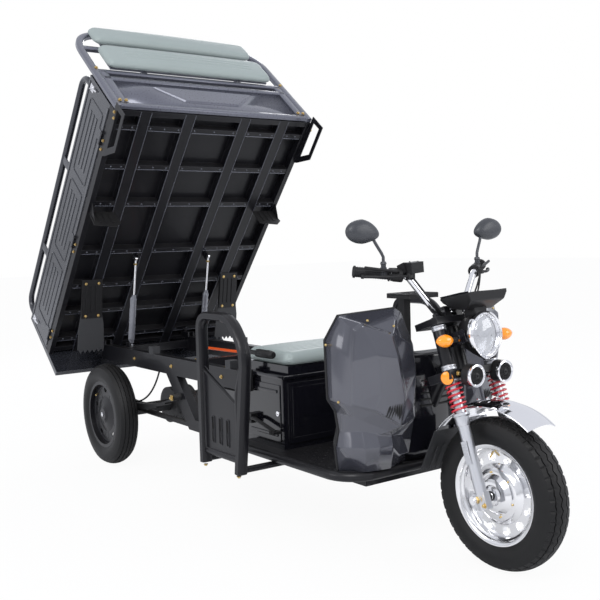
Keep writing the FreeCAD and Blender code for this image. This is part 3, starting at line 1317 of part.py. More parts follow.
def sideGate(name, side):
    length = s.bed_front - s.wall_thick - s.gate_clearance + s.bed_rear - s.wall_thick - s.gate_clearance
    rear = -s.bed_rear + s.wall_thick + s.gate_clearance
    low = s.rib_depth + s.bed_sheet + 2
    panel = bedBlock(s.wall_thick, length, s.gate_top - low,
                     (s.bed_half - s.wall_thick / 2) * side - s.wall_thick / 2, rear, low)
    x = (s.bed_half - s.wall_thick / 2) * side
    high = s.rail_over + hinge
    edge = s.gate_top + hinge - 6
    route = [(x, -s.rail_front, edge), (x, -s.rail_front, high), (x, 60, high), (x, 60, edge)]
    loop = tube(route, s.rail_tube_radius, s.rail_bend)
    pieces = [panel, shaped("Rail", loop)]
    for along in gateHinges:
        pinX = (s.bed_half + s.gate_pin_out) * side
        knuckle = rod(s.gate_pin + 2, s.gate_knuckle, pinX, -along, gateLine, "y")
        strap = box(3, s.gate_knuckle, s.gate_strap, (s.bed_half + 1.5) * side - 1.5,
                    -along - s.gate_knuckle / 2, gateLine)
        bore = rod(s.gate_pin + s.pin_gap, s.gate_knuckle * 2, pinX, -along, gateLine, "y")
        pieces.append(cut("GateHinge", fuse("Knuckle", [knuckle, strap]), [bore]))
    for along in (350, 890):
        pieces.append(rod(8, s.rail_over - s.gate_top + 4, x, -along, (high + edge) / 2, "z"))
    return keep(fuse(name, pieces, bedFrame), name)


def lampBrackets():
    # along the bed, over the ribs
    corners = [(1441, -4), (1440, -102), (1255, -108), (1179, -24), (1166, -4)]
    inner = [(1418, -26), (1418, -80), (1272, -86), (1222, -30)]
    items = []
    for side in (-1, 1):
        plate = body("Bracket",
                     ((s.bed_half + 0.0) * side - s.bracket_sheet / 2 - s.bracket_sheet / 2 * side, 0, 0, 0))
        pad(plate, "YZ_Plane", [(-along, over + hinge) for along, over in corners], s.bracket_sheet)
        pocket(plate, "YZ_Plane", [(-along, over + hinge) for along, over in inner], 50, midplane=True)
        items.append(plate)
    return keep(compound("lamp_brackets", items, bedFrame), "lamp_brackets")


def bedFlaps():
    items = []
    for side in (-1, 1):
        x = s.bed_flap_half * side
        plate = body("BedFlap", (x - s.bed_flap_width / 2, 0, 0, 0))
        top = (-s.bed_flap_top_along, hinge + 0)
        low = (-s.bed_flap_low_along, hinge - s.bed_flap_drop)
        pad(plate, "YZ_Plane", [
            top, low, (low[0] + s.flap_sheet, low[1]), (top[0] + s.flap_sheet * 2, top[1]),
        ], s.bed_flap_width)
        items.append(plate)
    return keep(compound("bed_mud_flaps", items, bedFrame), "bed_mud_flaps")


# Gas struts: the lower pin stays on the frame, the upper pin rides on the bed
def strutEnds():
    lean = math.radians(s.bed_raise)
    foot = Vector(0, float(s.rear_axle_y + s.strut_foot_behind), float(s.strut_foot_height))
    along = float(s.strut_eye_along)
    over = float(hinge - s.strut_eye_under)
    eye = Vector(0, float(s.rear_axle_y + s.hinge_behind) - along * math.cos(lean) + over * math.sin(lean),
                 float(s.hinge_height) + along * math.sin(lean) + over * math.cos(lean))
    return foot, eye


def strut(side, word):
    foot, eye = strutEnds()
    way = eye - foot
    x = float(s.strut_half) * side
    frame = Placement(Vector(x, foot.y, foot.z), Rotation(Vector(0, 0, 1), way))
    width = float(s.strut_eye_width)
    pin = float(s.strut_pin + s.pin_gap)

    def eyeRing(height):
        ring = Part.makeCylinder(float(s.strut_eye), width, Vector(-width / 2, 0, height), Vector(1, 0, 0))
        return ring.cut(Part.makeCylinder(pin, width, Vector(-width / 2, 0, height), Vector(1, 0, 0)))

    radius = float(s.cylinder_radius)
    length = float(s.cylinder_length)
    barrel = Part.makeCylinder(radius, length - 14, Vector(0, 0, 14))
    neck = Part.makeCylinder(float(s.rod_radius), 8, Vector(0, 0, 7.5))
    space = Part.makeCylinder(float(s.rod_radius) + 1, length, Vector(0, 0, 24))
    bore = Part.makeCylinder(pin, width * 2, Vector(-width, 0, 0), Vector(1, 0, 0))
    cylinder = barrel.fuse([neck, eyeRing(0)]).cut(space).cut(bore)
    keep(posed("strut_cylinder_" + word, cylinder, frame), "strut_cylinder_" + word)
    start = length - float(s.rod_hidden)
    shaft = Part.makeCylinder(float(s.rod_radius), way.Length - start - 7.5, Vector(0, 0, start))
    moving = shaft.fuse(eyeRing(way.Length))
    moving = moving.cut(Part.makeCylinder(pin, width * 2, Vector(-width, 0, way.Length), Vector(1, 0, 0)))
    keep(posed("strut_rod_" + word, moving, frame), "strut_rod_" + word)


def powerCable():
    top = s.rail_top - s.rail_height / 2 - s.cross_size / 2 + s.cross_size
    route = [(60, ahead(s.motor_ahead), s.tyre_radius + s.motor_rise + s.motor_radius + 0.3),
             (60, ahead(s.motor_ahead), top + 14), (100, ahead(s.battery_behind - 60), top + 14),
             (100, ahead(s.battery_behind + 80), top + 14)]
    return keep(shaped("power_cable", tube(route, s.cable_radius, s.cable_bend)), "power_cable")


tyre("front_tyre", 0, ahead(s.wheelbase))
tyre("rear_tyre_right", -s.track_half, ahead(0))
tyre("rear_tyre_left", s.track_half, ahead(0))
frontRim()
rearRim("rear_rim_right", -1)
rearRim("rear_rim_left", 1)
rearAxle()
driveMotor()
rearSuspension()
mainFrame()
restPads()
footBoard()
batteryCase()
seatBox()
cushion("driver_seat", s.seat_half * 2, s.seat_front - s.seat_rear, s.seat_thick, -s.seat_half,
        ahead(s.seat_front), s.seat_box_top + s.seat_base + s.pad_gap, s.seat_round)
hipGuard("hip_guard_right", -1)
hipGuard("hip_guard_left", 1)
shieldWing("shield_wing_right", -1)
shieldWing("shield_wing_left", 1)
shieldCentre()
dashConsole()
forkLeg("fork_leg_right", -1)
forkLeg("fork_leg_left", 1)
forkYokes()
forkSprings()
frontAxle()
mudguard()
frontFlap()
handlebar()
handControls("hand_controls_right", -1)
handControls("hand_controls_left", 1)
mirror("mirror_right", -1)
mirror("mirror_left", 1)
headlight()
horns()
blinkers()
bedFloor()
headboard()
rearFrame()
tailLamps()
tailgate()
sideGate("side_gate_right", -1)
sideGate("side_gate_left", 1)
cushion("back_cushion_low", s.low_pad_half * 2, s.pad_thick, s.low_pad_height, -s.low_pad_half,
        -(s.bed_front + s.pad_gap + s.pad_thick), hinge + s.low_pad_bottom, s.seat_round, bedFrame)
cushion("back_cushion_high", s.high_pad_half * 2, s.pad_thick, s.high_pad_height, -s.high_pad_half,
        -(s.bed_front + s.pad_gap + s.pad_thick), hinge + s.high_pad_bottom, s.seat_round, bedFrame)
lampBrackets()
bedFlaps()
strut(-1, "right")
strut(1, "left")
powerCable()

doc.recompute()
for item in doc.Objects:
    if "Invalid" in item.State or "Error" in item.State:
        raise RuntimeError(item.Name + " did not build: " + str(item.State))
os.makedirs("parts", exist_ok=True)
whole = FreeCAD.BoundBox()
for name, item in sorted(parts.items()):
    shape = item.Shape
    if shape.isNull() or not shape.isValid() or shape.Volume <= 0:
        raise RuntimeError(name + " has no valid solid")
    shape.exportStep("parts/" + name + ".step")
    whole.add(shape.BoundBox)
    print("%-24s solids %2d  volume %9.0f" % (name, len(shape.Solids), shape.Volume))
print(len(parts), "sub-parts", whole)
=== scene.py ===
import math
import random
import bpy
import bmesh
from mathutils import Matrix, Vector


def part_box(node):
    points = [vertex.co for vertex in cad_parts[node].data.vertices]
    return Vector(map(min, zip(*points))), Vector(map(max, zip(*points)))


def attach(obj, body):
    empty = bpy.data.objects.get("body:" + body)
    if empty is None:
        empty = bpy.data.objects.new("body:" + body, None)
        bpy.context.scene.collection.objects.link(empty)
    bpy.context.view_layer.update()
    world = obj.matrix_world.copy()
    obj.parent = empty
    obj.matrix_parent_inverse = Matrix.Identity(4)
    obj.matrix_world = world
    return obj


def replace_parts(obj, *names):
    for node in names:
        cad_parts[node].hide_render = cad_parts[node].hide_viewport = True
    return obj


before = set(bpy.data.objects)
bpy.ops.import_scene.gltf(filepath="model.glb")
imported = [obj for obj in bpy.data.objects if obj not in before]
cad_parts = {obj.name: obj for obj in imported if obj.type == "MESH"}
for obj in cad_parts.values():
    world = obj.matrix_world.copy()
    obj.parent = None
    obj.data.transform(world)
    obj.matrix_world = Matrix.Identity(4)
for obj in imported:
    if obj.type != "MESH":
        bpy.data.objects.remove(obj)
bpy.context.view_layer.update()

scene = bpy.context.scene
random.seed(7)

# Where things are, in metres: y runs rearward, "ahead" is measured forward of the rear axle
vehicle = {
    "springX": 0.2905,
    "axleY": 0.861,
    "wheelbase": 2.186,
    "wheelRadius": 0.248,
    "forkRake": 19,
    "bedTilt": 50.4,
    "hingeBehind": 0.363,
    "hingeHeight": 0.565,
    "hingeDrop": 0.030,
}
forkFrame = (Matrix.Translation((0, vehicle["axleY"] - vehicle["wheelbase"], vehicle["wheelRadius"]))
             @ Matrix.Rotation(math.radians(-vehicle["forkRake"]), 4, "X"))
bedFrame = (Matrix.Translation((0, vehicle["axleY"] + vehicle["hingeBehind"], vehicle["hingeHeight"]))
            @ Matrix.Rotation(math.radians(-vehicle["bedTilt"]), 4, "X"))


def at(x, ahead, z):
    return Vector((x, vehicle["axleY"] - ahead, z))


def onBed(x, along, over):
    return bedFrame @ Vector((x, -along, over + vehicle["hingeDrop"]))


def onFork(x, back, up):
    return forkFrame @ Vector((x, back, up))


def sidePlane(side, x):
    # drawing plane beside the frame: u ahead of the rear axle, v up
    return Matrix(((0, 0, side, x * side), (-1, 0, 0, vehicle["axleY"]), (0, 1, 0, 0), (0, 0, 0, 1)))


# Camera, lights and floor
camera = bpy.data.cameras.new("Camera")
camera.lens = 52.8
camera.sensor_width = 36
cameraAt = bpy.data.objects.new("Camera", camera)
scene.collection.objects.link(cameraAt)
yaw, pitch, roll = (math.radians(angle) for angle in (-35.837, -3.868, -1.62))
forward = Vector((-math.sin(yaw) * math.cos(pitch), math.cos(yaw) * math.cos(pitch), math.sin(pitch)))
right = Vector((math.cos(yaw), math.sin(yaw), 0))
up = right.cross(forward)
rolledRight = right * math.cos(roll) + up * math.sin(roll)
rolledUp = up * math.cos(roll) - right * math.sin(roll)
turn = Matrix((rolledRight, rolledUp, -forward)).transposed().to_4x4()
cameraAt.matrix_world = Matrix.Translation((-2.146, -3.217, 1.079)) @ turn
scene.camera = cameraAt
scene.view_settings.view_transform = "Standard"

lamps = [
    # name, place, size, strength
    ("keyLamp", (-3.2, -3.4, 4.2), 2.6, 120),
    ("sideLamp", (-5.0, 0.6, 2.4), 2.2, 35),
    ("frontLamp", (2.6, -4.6, 2.6), 2.4, 60),
    ("rearLamp", (2.4, 4.2, 3.6), 2.4, 70),
]
for name, place, size, strength in lamps:
    lamp = bpy.data.lights.new(name, "AREA")
    lamp.energy = strength
    lamp.size = size
    holder = bpy.data.objects.new(name, lamp)
    scene.collection.objects.link(holder)
    holder.location = place
    holder.rotation_euler = (Vector((0, 0, 0.7)) - Vector(place)).to_track_quat("-Z", "Y").to_euler()

world = bpy.data.worlds.new("Studio")
scene.world = world
world.use_nodes = True
worldNodes = world.node_tree.nodes
worldLinks = world.node_tree.links
worldNodes.clear()
sky = worldNodes.new("ShaderNodeBackground")
worldOut = worldNodes.new("ShaderNodeOutputWorld")
rays = worldNodes.new("ShaderNodeLightPath")
height = worldNodes.new("ShaderNodeTexCoord")
split = worldNodes.new("ShaderNodeSeparateXYZ")
ramp = worldNodes.new("ShaderNodeValToRGB")
ramp.color_ramp.elements[0].position = 0.42
ramp.color_ramp.elements[0].color = (0.16, 0.16, 0.165, 1)
ramp.color_ramp.elements[1].position = 0.56
ramp.color_ramp.elements[1].color = (0.78, 0.8, 0.86, 1)
span = worldNodes.new("ShaderNodeMapRange")
span.inputs["From Min"].default_value = -1
plain = worldNodes.new("ShaderNodeMix")
plain.data_type = "RGBA"
plain.inputs["B"].default_value = (1, 1, 1, 1)
worldLinks.new(height.outputs["Generated"], split.inputs[0])
worldLinks.new(split.outputs["Z"], span.inputs["Value"])
worldLinks.new(span.outputs[0], ramp.inputs[0])
worldLinks.new(rays.outputs["Is Camera Ray"], plain.inputs["Factor"])
worldLinks.new(ramp.outputs[0], plain.inputs["A"])
worldLinks.new(plain.outputs["Result"], sky.inputs[0])
worldLinks.new(sky.outputs[0], worldOut.inputs[0])

floorMesh = bpy.data.meshes.new("floor")
floorMesh.from_pydata([(-30, -30, 0), (30, -30, 0), (30, 30, 0), (-30, 30, 0)], [], [(0, 1, 2, 3)])
floor = bpy.data.objects.new("floor", floorMesh)
scene.collection.objects.link(floor)
paper = bpy.data.materials.new("paper")
paper.use_nodes = True
paperNodes = paper.node_tree.nodes
paperLinks = paper.node_tree.links
shade = paperNodes["Principled BSDF"]
shade.inputs["Base Color"].default_value = (0.86, 0.86, 0.86, 1)
shade.inputs["Roughness"].default_value = 0.9
glow = paperNodes.new("ShaderNodeEmission")
glow.inputs[0].default_value = (1, 1, 1, 1)
blendPaper = paperNodes.new("ShaderNodeMixShader")
paperRay = paperNodes.new("ShaderNodeLightPath")
share = paperNodes.new("ShaderNodeMath")
share.operation = "MULTIPLY"
share.inputs[1].default_value = 0.94
paperLinks.new(paperRay.outputs["Is Camera Ray"], share.inputs[0])
paperLinks.new(share.outputs[0], blendPaper.inputs[0])
paperLinks.new(shade.outputs[0], blendPaper.inputs[1])
paperLinks.new(glow.outputs[0], blendPaper.inputs[2])
paperLinks.new(blendPaper.outputs[0], paperNodes["Material Output"].inputs[0])
floorMesh.materials.append(paper)
print("camera, lamps and floor set")


# Shared effects: node groups that put out masks and heights
def effect(name, inputs, outputs):
    group = bpy.data.node_groups.new(name, "ShaderNodeTree")
    for socket, value in inputs.items():
        made = group.interface.new_socket(socket, in_out="INPUT", socket_type="NodeSocketFloat")
        made.default_value = value
    for socket in outputs:
        group.interface.new_socket(socket, in_out="OUTPUT", socket_type="NodeSocketFloat")
    return group, group.nodes.new("NodeGroupInput"), group.nodes.new("NodeGroupOutput")


def math2(nodes, links, operation, first, second):
    node = nodes.new("ShaderNodeMath")
    node.operation = operation
    for socket, value in ((node.inputs[0], first), (node.inputs[1], second)):
        if isinstance(value, (int, float)):
            socket.default_value = value
        else:
            links.new(value, socket)
    return node.outputs[0]


def makeSpeckle():
    group, start, end = effect("speckle", {"Scale": 60.0, "Stretch": 1.0}, ["Mask", "Height"])
    nodes, links = group.nodes, group.links
    place = nodes.new("ShaderNodeTexCoord")
    shape = nodes.new("ShaderNodeMapping")
    stretch = nodes.new("ShaderNodeCombineXYZ")
    links.new(start.outputs["Stretch"], stretch.inputs[0])
    stretch.inputs[1].default_value = 1
    stretch.inputs[2].default_value = 1
    links.new(place.outputs["Object"], shape.inputs[0])
    links.new(stretch.outputs[0], shape.inputs["Scale"])
    fine = nodes.new("ShaderNodeTexNoise")
    fine.inputs["Detail"].default_value = 5
    links.new(shape.outputs[0], fine.inputs["Vector"])
    links.new(start.outputs["Scale"], fine.inputs["Scale"])
    wide = nodes.new("ShaderNodeTexNoise")
    wide.inputs["Scale"].default_value = 5
    links.new(place.outputs["Object"], wide.inputs["Vector"])
    links.new(wide.outputs["Fac"], end.inputs["Mask"])
    links.new(fine.outputs["Fac"], end.inputs["Height"])
    return group


def makeHide():
    group, start, end = effect("hideGrain", {"Scale": 420.0}, ["Shade", "Height"])
    nodes, links = group.nodes, group.links
    place = nodes.new("ShaderNodeTexCoord")
    cells = nodes.new("ShaderNodeTexVoronoi")
    cells.feature = "DISTANCE_TO_EDGE"
    links.new(place.outputs["Object"], cells.inputs["Vector"])
    links.new(start.outputs["Scale"], cells.inputs["Scale"])
    wide = nodes.new("ShaderNodeTexNoise")
    wide.inputs["Scale"].default_value = 9
    links.new(place.outputs["Object"], wide.inputs["Vector"])
    links.new(cells.outputs["Distance"], end.inputs["Height"])
    links.new(wide.outputs["Fac"], end.inputs["Shade"])
    return group


def makeWear():
    group, start, end = effect("edgeWear", {"Radius": 0.004, "Scale": 90.0}, ["Mask"])
    nodes, links = group.nodes, group.links
    bevel = nodes.new("ShaderNodeBevel")
    bevel.samples = 4
    links.new(start.outputs["Radius"], bevel.inputs["Radius"])
    face = nodes.new("ShaderNodeNewGeometry")
    likeness = nodes.new("ShaderNodeVectorMath")
    likeness.operation = "DOT_PRODUCT"
    links.new(bevel.outputs[0], likeness.inputs[0])
    links.new(face.outputs["Normal"], likeness.inputs[1])
    place = nodes.new("ShaderNodeTexCoord")
    noise = nodes.new("ShaderNodeTexNoise")
    links.new(place.outputs["Object"], noise.inputs["Vector"])
    links.new(start.outputs["Scale"], noise.inputs["Scale"])
    edge = math2(nodes, links, "SUBTRACT", 1, likeness.outputs["Value"])
    rough = math2(nodes, links, "MULTIPLY", edge, noise.outputs["Fac"])
    links.new(math2(nodes, links, "MULTIPLY", rough, 6), end.inputs["Mask"])
    return group


def makeDust():
    group, start, end = effect("settledDust", {"Scale": 14.0, "Amount": 0.3}, ["Mask"])
    nodes, links = group.nodes, group.links
    face = nodes.new("ShaderNodeNewGeometry")
    split = nodes.new("ShaderNodeSeparateXYZ")
    links.new(face.outputs["Normal"], split.inputs[0])
    place = nodes.new("ShaderNodeTexCoord")
    noise = nodes.new("ShaderNodeTexNoise")
    noise.inputs["Detail"].default_value = 6
    links.new(place.outputs["Object"], noise.inputs["Vector"])
    links.new(start.outputs["Scale"], noise.inputs["Scale"])
    top = math2(nodes, links, "MAXIMUM", split.outputs["Z"], 0)
    patchy = math2(nodes, links, "MULTIPLY", top, noise.outputs["Fac"])
    links.new(math2(nodes, links, "MULTIPLY", patchy, start.outputs["Amount"]), end.inputs["Mask"])
    return group


speckle = makeSpeckle()
hideGrain = makeHide()
edgeWear = makeWear()
settledDust = makeDust()


def finishOf(name, color, roughness, metallic=0.0, coat=0.0, bump=0.05, scale=120, vary=0.12,
             stretch=1.0, wear=None, dust=0.0, grain=None, glow=None, clear=0.0):
    material = bpy.data.materials.new(name)
    material.use_nodes = True
    nodes, links = material.node_tree.nodes, material.node_tree.links
    shader = nodes["Principled BSDF"]
    shader.inputs["Metallic"].default_value = metallic
    shader.inputs["Coat Weight"].default_value = coat
    shader.inputs["Coat Roughness"].default_value = 0.06
    shader.inputs["Transmission Weight"].default_value = clear
    shader.inputs["Specular IOR Level"].default_value = 0.5 if clear or max(color) > 0.02 else 0.3
    noise = nodes.new("ShaderNodeGroup")
    noise.node_tree = speckle
    noise.inputs["Scale"].default_value = scale
    noise.inputs["Stretch"].default_value = stretch
    shades = nodes.new("ShaderNodeMix")
    shades.data_type = "RGBA"
    shades.inputs["A"].default_value = tuple(part * (1 - vary) for part in color) + (1,)
    shades.inputs["B"].default_value = tuple(min(1, part * (1 + vary)) for part in color) + (1,)
    links.new(noise.outputs["Mask"], shades.inputs["Factor"])
    shown = shades.outputs["Result"]
    if dust:
        veil = nodes.new("ShaderNodeGroup")
        veil.node_tree = settledDust
        veil.inputs["Amount"].default_value = dust
        dusty = nodes.new("ShaderNodeMix")
        dusty.data_type = "RGBA"
        dusty.inputs["B"].default_value = (0.3, 0.28, 0.25, 1)
        links.new(veil.outputs["Mask"], dusty.inputs["Factor"])
        links.new(shown, dusty.inputs["A"])
        shown = dusty.outputs["Result"]
    if wear:
        edges = nodes.new("ShaderNodeGroup")
        edges.node_tree = edgeWear
        worn = nodes.new("ShaderNodeMix")
        worn.data_type = "RGBA"
        worn.inputs["B"].default_value = tuple(wear) + (1,)
        links.new(edges.outputs["Mask"], worn.inputs["Factor"])
        links.new(shown, worn.inputs["A"])
        shown = worn.outputs["Result"]
    links.new(shown, shader.inputs["Base Color"])
    spread = nodes.new("ShaderNodeMapRange")
    spread.inputs["To Min"].default_value = 0.0 if clear else max(0.02, roughness - 0.06)
    spread.inputs["To Max"].default_value = 0.01 if clear else roughness + 0.08
    links.new(noise.outputs["Height"], spread.inputs["Value"])
    links.new(spread.outputs[0], shader.inputs["Roughness"])
    relief = nodes.new("ShaderNodeBump")
    relief.inputs["Strength"].default_value = bump
    relief.inputs["Distance"].default_value = 0.001
    if grain:
        hide = nodes.new("ShaderNodeGroup")
        hide.node_tree = hideGrain
        hide.inputs["Scale"].default_value = grain
        links.new(hide.outputs["Height"], relief.inputs["Height"])
    else:
        links.new(noise.outputs["Height"], relief.inputs["Height"])
    links.new(relief.outputs[0], shader.inputs["Normal"])
    if glow:
        shader.inputs["Emission Color"].default_value = tuple(glow) + (1,)
        shader.inputs["Emission Strength"].default_value = 0.25
    return material


finishes = {
    "frameBlack": finishOf("frameBlack", (0.006, 0.006, 0.008), 0.34, coat=0.1, bump=0.08, scale=260,
                           wear=(0.05, 0.05, 0.055), dust=0.05),
    "glossBlack": finishOf("glossBlack", (0.006, 0.006, 0.009), 0.14, coat=0.7, bump=0.02, dust=0.03),
    "bodyGrey": finishOf("bodyGrey", (0.050, 0.054, 0.074), 0.24, metallic=0.35, coat=0.8, bump=0.03,
                         scale=420, wear=(0.16, 0.17, 0.2), dust=0.05),
    "shieldGrey": finishOf("shieldGrey", (0.072, 0.074, 0.092), 0.17, metallic=0.4, coat=1.0, bump=0.015,
                           scale=600),
    "satinPlastic": finishOf("satinPlastic", (0.011, 0.011, 0.012), 0.40, bump=0.12, scale=500, dust=0.05),
    "mirrorShell": finishOf("mirrorShell", (0.04, 0.043, 0.05), 0.38, bump=0.1, scale=600),
    "vinyl": finishOf("vinyl", (0.31, 0.36, 0.35), 0.40, bump=0.25, vary=0.06, grain=420),
    "tyreRubber": finishOf("tyreRubber", (0.006, 0.006, 0.0065), 0.5, bump=0.2, scale=300, dust=0.06),
    "flapRubber": finishOf("flapRubber", (0.03, 0.031, 0.034), 0.6, bump=0.4, scale=240, dust=0.1),
    "polishedAlloy": finishOf("polishedAlloy", (0.82, 0.82, 0.83), 0.14, metallic=1.0, bump=0.06, scale=90,
                              vary=0.05),
    "satinAlloy": finishOf("satinAlloy", (0.62, 0.63, 0.66), 0.32, metallic=0.85, bump=0.08, scale=400,
                           vary=0.05),
    "chromePlate": finishOf("chromePlate", (0.86, 0.86, 0.88), 0.07, metallic=1.0, bump=0.01, vary=0.03),
    "yellowZinc": finishOf("yellowZinc", (0.62, 0.46, 0.2), 0.35, metallic=0.9, bump=0.1, scale=500),
    "springRed": finishOf("springRed", (0.55, 0.012, 0.03), 0.22, coat=0.7, bump=0.03),
    "castBlack": finishOf("castBlack", (0.03, 0.03, 0.032), 0.55, metallic=0.3, bump=0.5, scale=200,
                         dust=0.2),
    "orangeSheath": finishOf("orangeSheath", (0.86, 0.11, 0.015), 0.35, bump=0.1),
    "crinkledFilm": finishOf("crinkledFilm", (0.16, 0.165, 0.19), 0.2, metallic=0.3, coat=0.6, bump=1.0,
                             scale=160, vary=0.5),
    # faint amber emission: real on the front indicators, which are lamps; on the side reflectors, which are
    # not, it is a painted glow
    "amberLens": finishOf("amberLens", (0.95, 0.3, 0.01), 0.12, coat=0.8, bump=0.05, glow=(0.5, 0.1, 0.0)),
    "redLens": finishOf("redLens", (0.5, 0.01, 0.01), 0.12, coat=0.8, bump=0.05),
    "clearLens": finishOf("clearLens", (1.0, 1.0, 1.0), 0.03, clear=1.0, bump=0.01, vary=0.0),
    "lampChrome": finishOf("lampChrome", (0.9, 0.91, 0.94), 0.1, metallic=1.0, bump=0.03, vary=0.03),
    "ledLens": finishOf("ledLens", (0.5, 0.55, 0.62), 0.05, metallic=0.6, coat=1.0, bump=0.01),
    "ledWhite": finishOf("ledWhite", (0.95, 0.96, 1.0), 0.2, bump=0.02, glow=(1.0, 1.0, 1.0)),
    "shadowBlack": finishOf("shadowBlack", (0.002, 0.002, 0.002), 0.8, bump=0.05),
    "boardGrey": finishOf("boardGrey", (0.13, 0.135, 0.17), 0.28, metallic=0.5, coat=0.6, bump=0.03,
                          wear=(0.24, 0.25, 0.28), dust=0.04),
    "gateGrey": finishOf("gateGrey", (0.024, 0.026, 0.034), 0.26, metallic=0.3, coat=0.6, bump=0.03,
                         wear=(0.1, 0.105, 0.12), dust=0.03),
}

cadFinishes = {
    "frameBlack": ["main_frame", "bed_floor", "hip_guard_right", "hip_guard_left", "fork_yokes",
                   "lamp_brackets", "foot_board", "rear_rim_right", "rear_rim_left"],
    "glossBlack": ["seat_box", "battery_case"],
    "gateGrey": ["headboard", "rear_frame", "tailgate", "side_gate_right", "side_gate_left"],
    "shieldGrey": ["shield_wing_right", "shield_wing_left", "shield_centre"],
    "satinPlastic": ["dash_console", "headlight_shell", "horns", "hand_controls_right",
                     "hand_controls_left"],
    "mirrorShell": ["mirror_right", "mirror_left"],
    "flapRubber": ["front_mud_flap", "bed_mud_flaps", "bed_rest_pads"],
    "polishedAlloy": ["front_rim"],
    "satinAlloy": ["fork_leg_right", "fork_leg_left"],
    "chromePlate": ["front_mudguard", "handlebar", "strut_rod_right", "strut_rod_left", "front_axle"],
    "castBlack": ["rear_axle", "drive_motor", "leaf_springs"],
    "amberLens": ["front_indicators"],
    "redLens": ["tail_lamps"],
    "orangeSheath": ["power_cable"],
    "crinkledFilm": ["strut_cylinder_right", "strut_cylinder_left"],
}
roundedNodes = {"main_frame": 0.002, "seat_box": 0.004, "battery_case": 0.006, "headboard": 0.004,
                "rear_frame": 0.003, "tailgate": 0.003, "side_gate_right": 0.002,
                "side_gate_left": 0.002, "shield_wing_right": 0.006, "shield_wing_left": 0.006,
                "dash_console": 0.004, "foot_board": 0.001, "lamp_brackets": 0.0012}
for finish, names in cadFinishes.items():
    for name in names:
        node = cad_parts.get(name)
        if node is None:
            continue
        node.data.materials.clear()
        node.data.materials.append(finishes[finish])
        if name in roundedNodes:
            soften = node.modifiers.new("Edges", "BEVEL")
            soften.width = roundedNodes[name]
            soften.segments = 2
            soften.limit_method = "ANGLE"
            soften.angle_limit = math.radians(40)
            soften.harden_normals = False
print("finishes given to", sum(len(names) for names in cadFinishes.values()), "solids")


# Mesh makers, each adding to a bmesh
def addFaces(bm, points, faces, matrix=None):
    verts = [bm.verts.new(matrix @ Vector(point) if matrix else Vector(point)) for point in points]
    for face in faces:
        bm.faces.new([verts[number] for number in face])
    return verts


def addBlock(bm, low, high, matrix=None):
    corners = [(x, y, z) for z in (low[2], high[2]) for y in (low[1], high[1]) for x in (low[0], high[0])]
    addFaces(bm, corners,
             [(0, 2, 3, 1), (4, 5, 7, 6), (0, 1, 5, 4), (2, 6, 7, 3), (0, 4, 6, 2), (1, 3, 7, 5)], matrix)


def axes(direction):
    way = Vector(direction).normalized()
    side = way.orthogonal().normalized()
    return way, side, way.cross(side)


def bridge(bm, rings, closed=False, caps=True):
    pairs = list(zip(rings, rings[1:]))
    if closed:
        pairs.append((rings[-1], rings[0]))
    for first, second in pairs:
        for k in range(len(first)):
            following = (k + 1) % len(first)
            bm.faces.new((first[k], first[following], second[following], second[k]))
    if caps and not closed:
        bm.faces.new(rings[0][::-1])
        bm.faces.new(rings[-1])


def addLathe(bm, profile, start, direction, steps=32, closed=False):
    way, side, other = axes(direction)
    rings = []
    for along, radius in profile:
        ring = []
        for step in range(steps):
            angle = 2 * math.pi * step / steps
            ring.append(bm.verts.new(Vector(start) + way * along
                                     + (side * math.cos(angle) + other * math.sin(angle)) * radius))
        rings.append(ring)
    bridge(bm, rings, closed)


def addRod(bm, start, end, radius, steps=20, tip=None):
    run = Vector(end) - Vector(start)
    addLathe(bm, [(0, radius), (run.length, radius if tip is None else tip)], start, run, steps)


def addRing(bm, centre, direction, radius, wire, steps=40, around=10):
    profile = [(wire * math.sin(2 * math.pi * k / around), radius + wire * math.cos(2 * math.pi * k / around))
               for k in range(around)]
    addLathe(bm, profile, centre, direction, steps, closed=True)


def addTube(bm, points, radius, steps=10):
    points = [Vector(point) for point in points]
    rings = []
    side = None
    for number, point in enumerate(points):
        before = points[max(0, number - 1)]
        after = points[min(len(points) - 1, number + 1)]
        way = (after - before).normalized()
        if side is None:
            side = way.orthogonal().normalized()
        side = (side - way * side.dot(way)).normalized()
        other = way.cross(side)
        rings.append([bm.verts.new(point + (side * math.cos(2 * math.pi * k / steps)
                                            + other * math.sin(2 * math.pi * k / steps)) * radius)
                      for k in range(steps)])
    bridge(bm, rings)


def addBolt(bm, place, direction, size=0.006, washer=True):
    way = Vector(direction).normalized()
    place = Vector(place)
    if washer:
        addRod(bm, place, place + way * size * 0.25, size * 1.5, 16)
    addLathe(bm, [(0, size), (size * 0.85, size), (size, size * 0.8)], place + way * size * 0.2, way, 6)


def addPrism(bm, outline, depth, matrix):
    near = [bm.verts.new(matrix @ Vector((u, v, 0))) for u, v in outline]
    far = [bm.verts.new(matrix @ Vector((u, v, depth))) for u, v in outline]
    count = len(outline)
    bm.faces.new(near[::-1])
    bm.faces.new(far)
    for number in range(count):
        following = (number + 1) % count
        bm.faces.new((near[number], near[following], far[following], far[number]))


def made(name, bm, finish, body, slot, sharp=38, bevel=0.0, segments=2):
    bmesh.ops.recalc_face_normals(bm, faces=bm.faces)
    mesh = bpy.data.meshes.new(name)
    bm.to_mesh(mesh)
    bm.free()
    for polygon in mesh.polygons:
        polygon.use_smooth = True
    mesh.set_sharp_from_angle(angle=math.radians(sharp))
    mesh.materials.append(finishes[finish])
    piece = bpy.data.objects.new(name, mesh)
    scene.collection.objects.link(piece)
    if bevel:
        soften = piece.modifiers.new("Edges", "BEVEL")
        soften.width = bevel
        soften.segments = segments
        soften.limit_method = "ANGLE"
        soften.angle_limit = math.radians(38)
    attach(piece, body)
    return piece


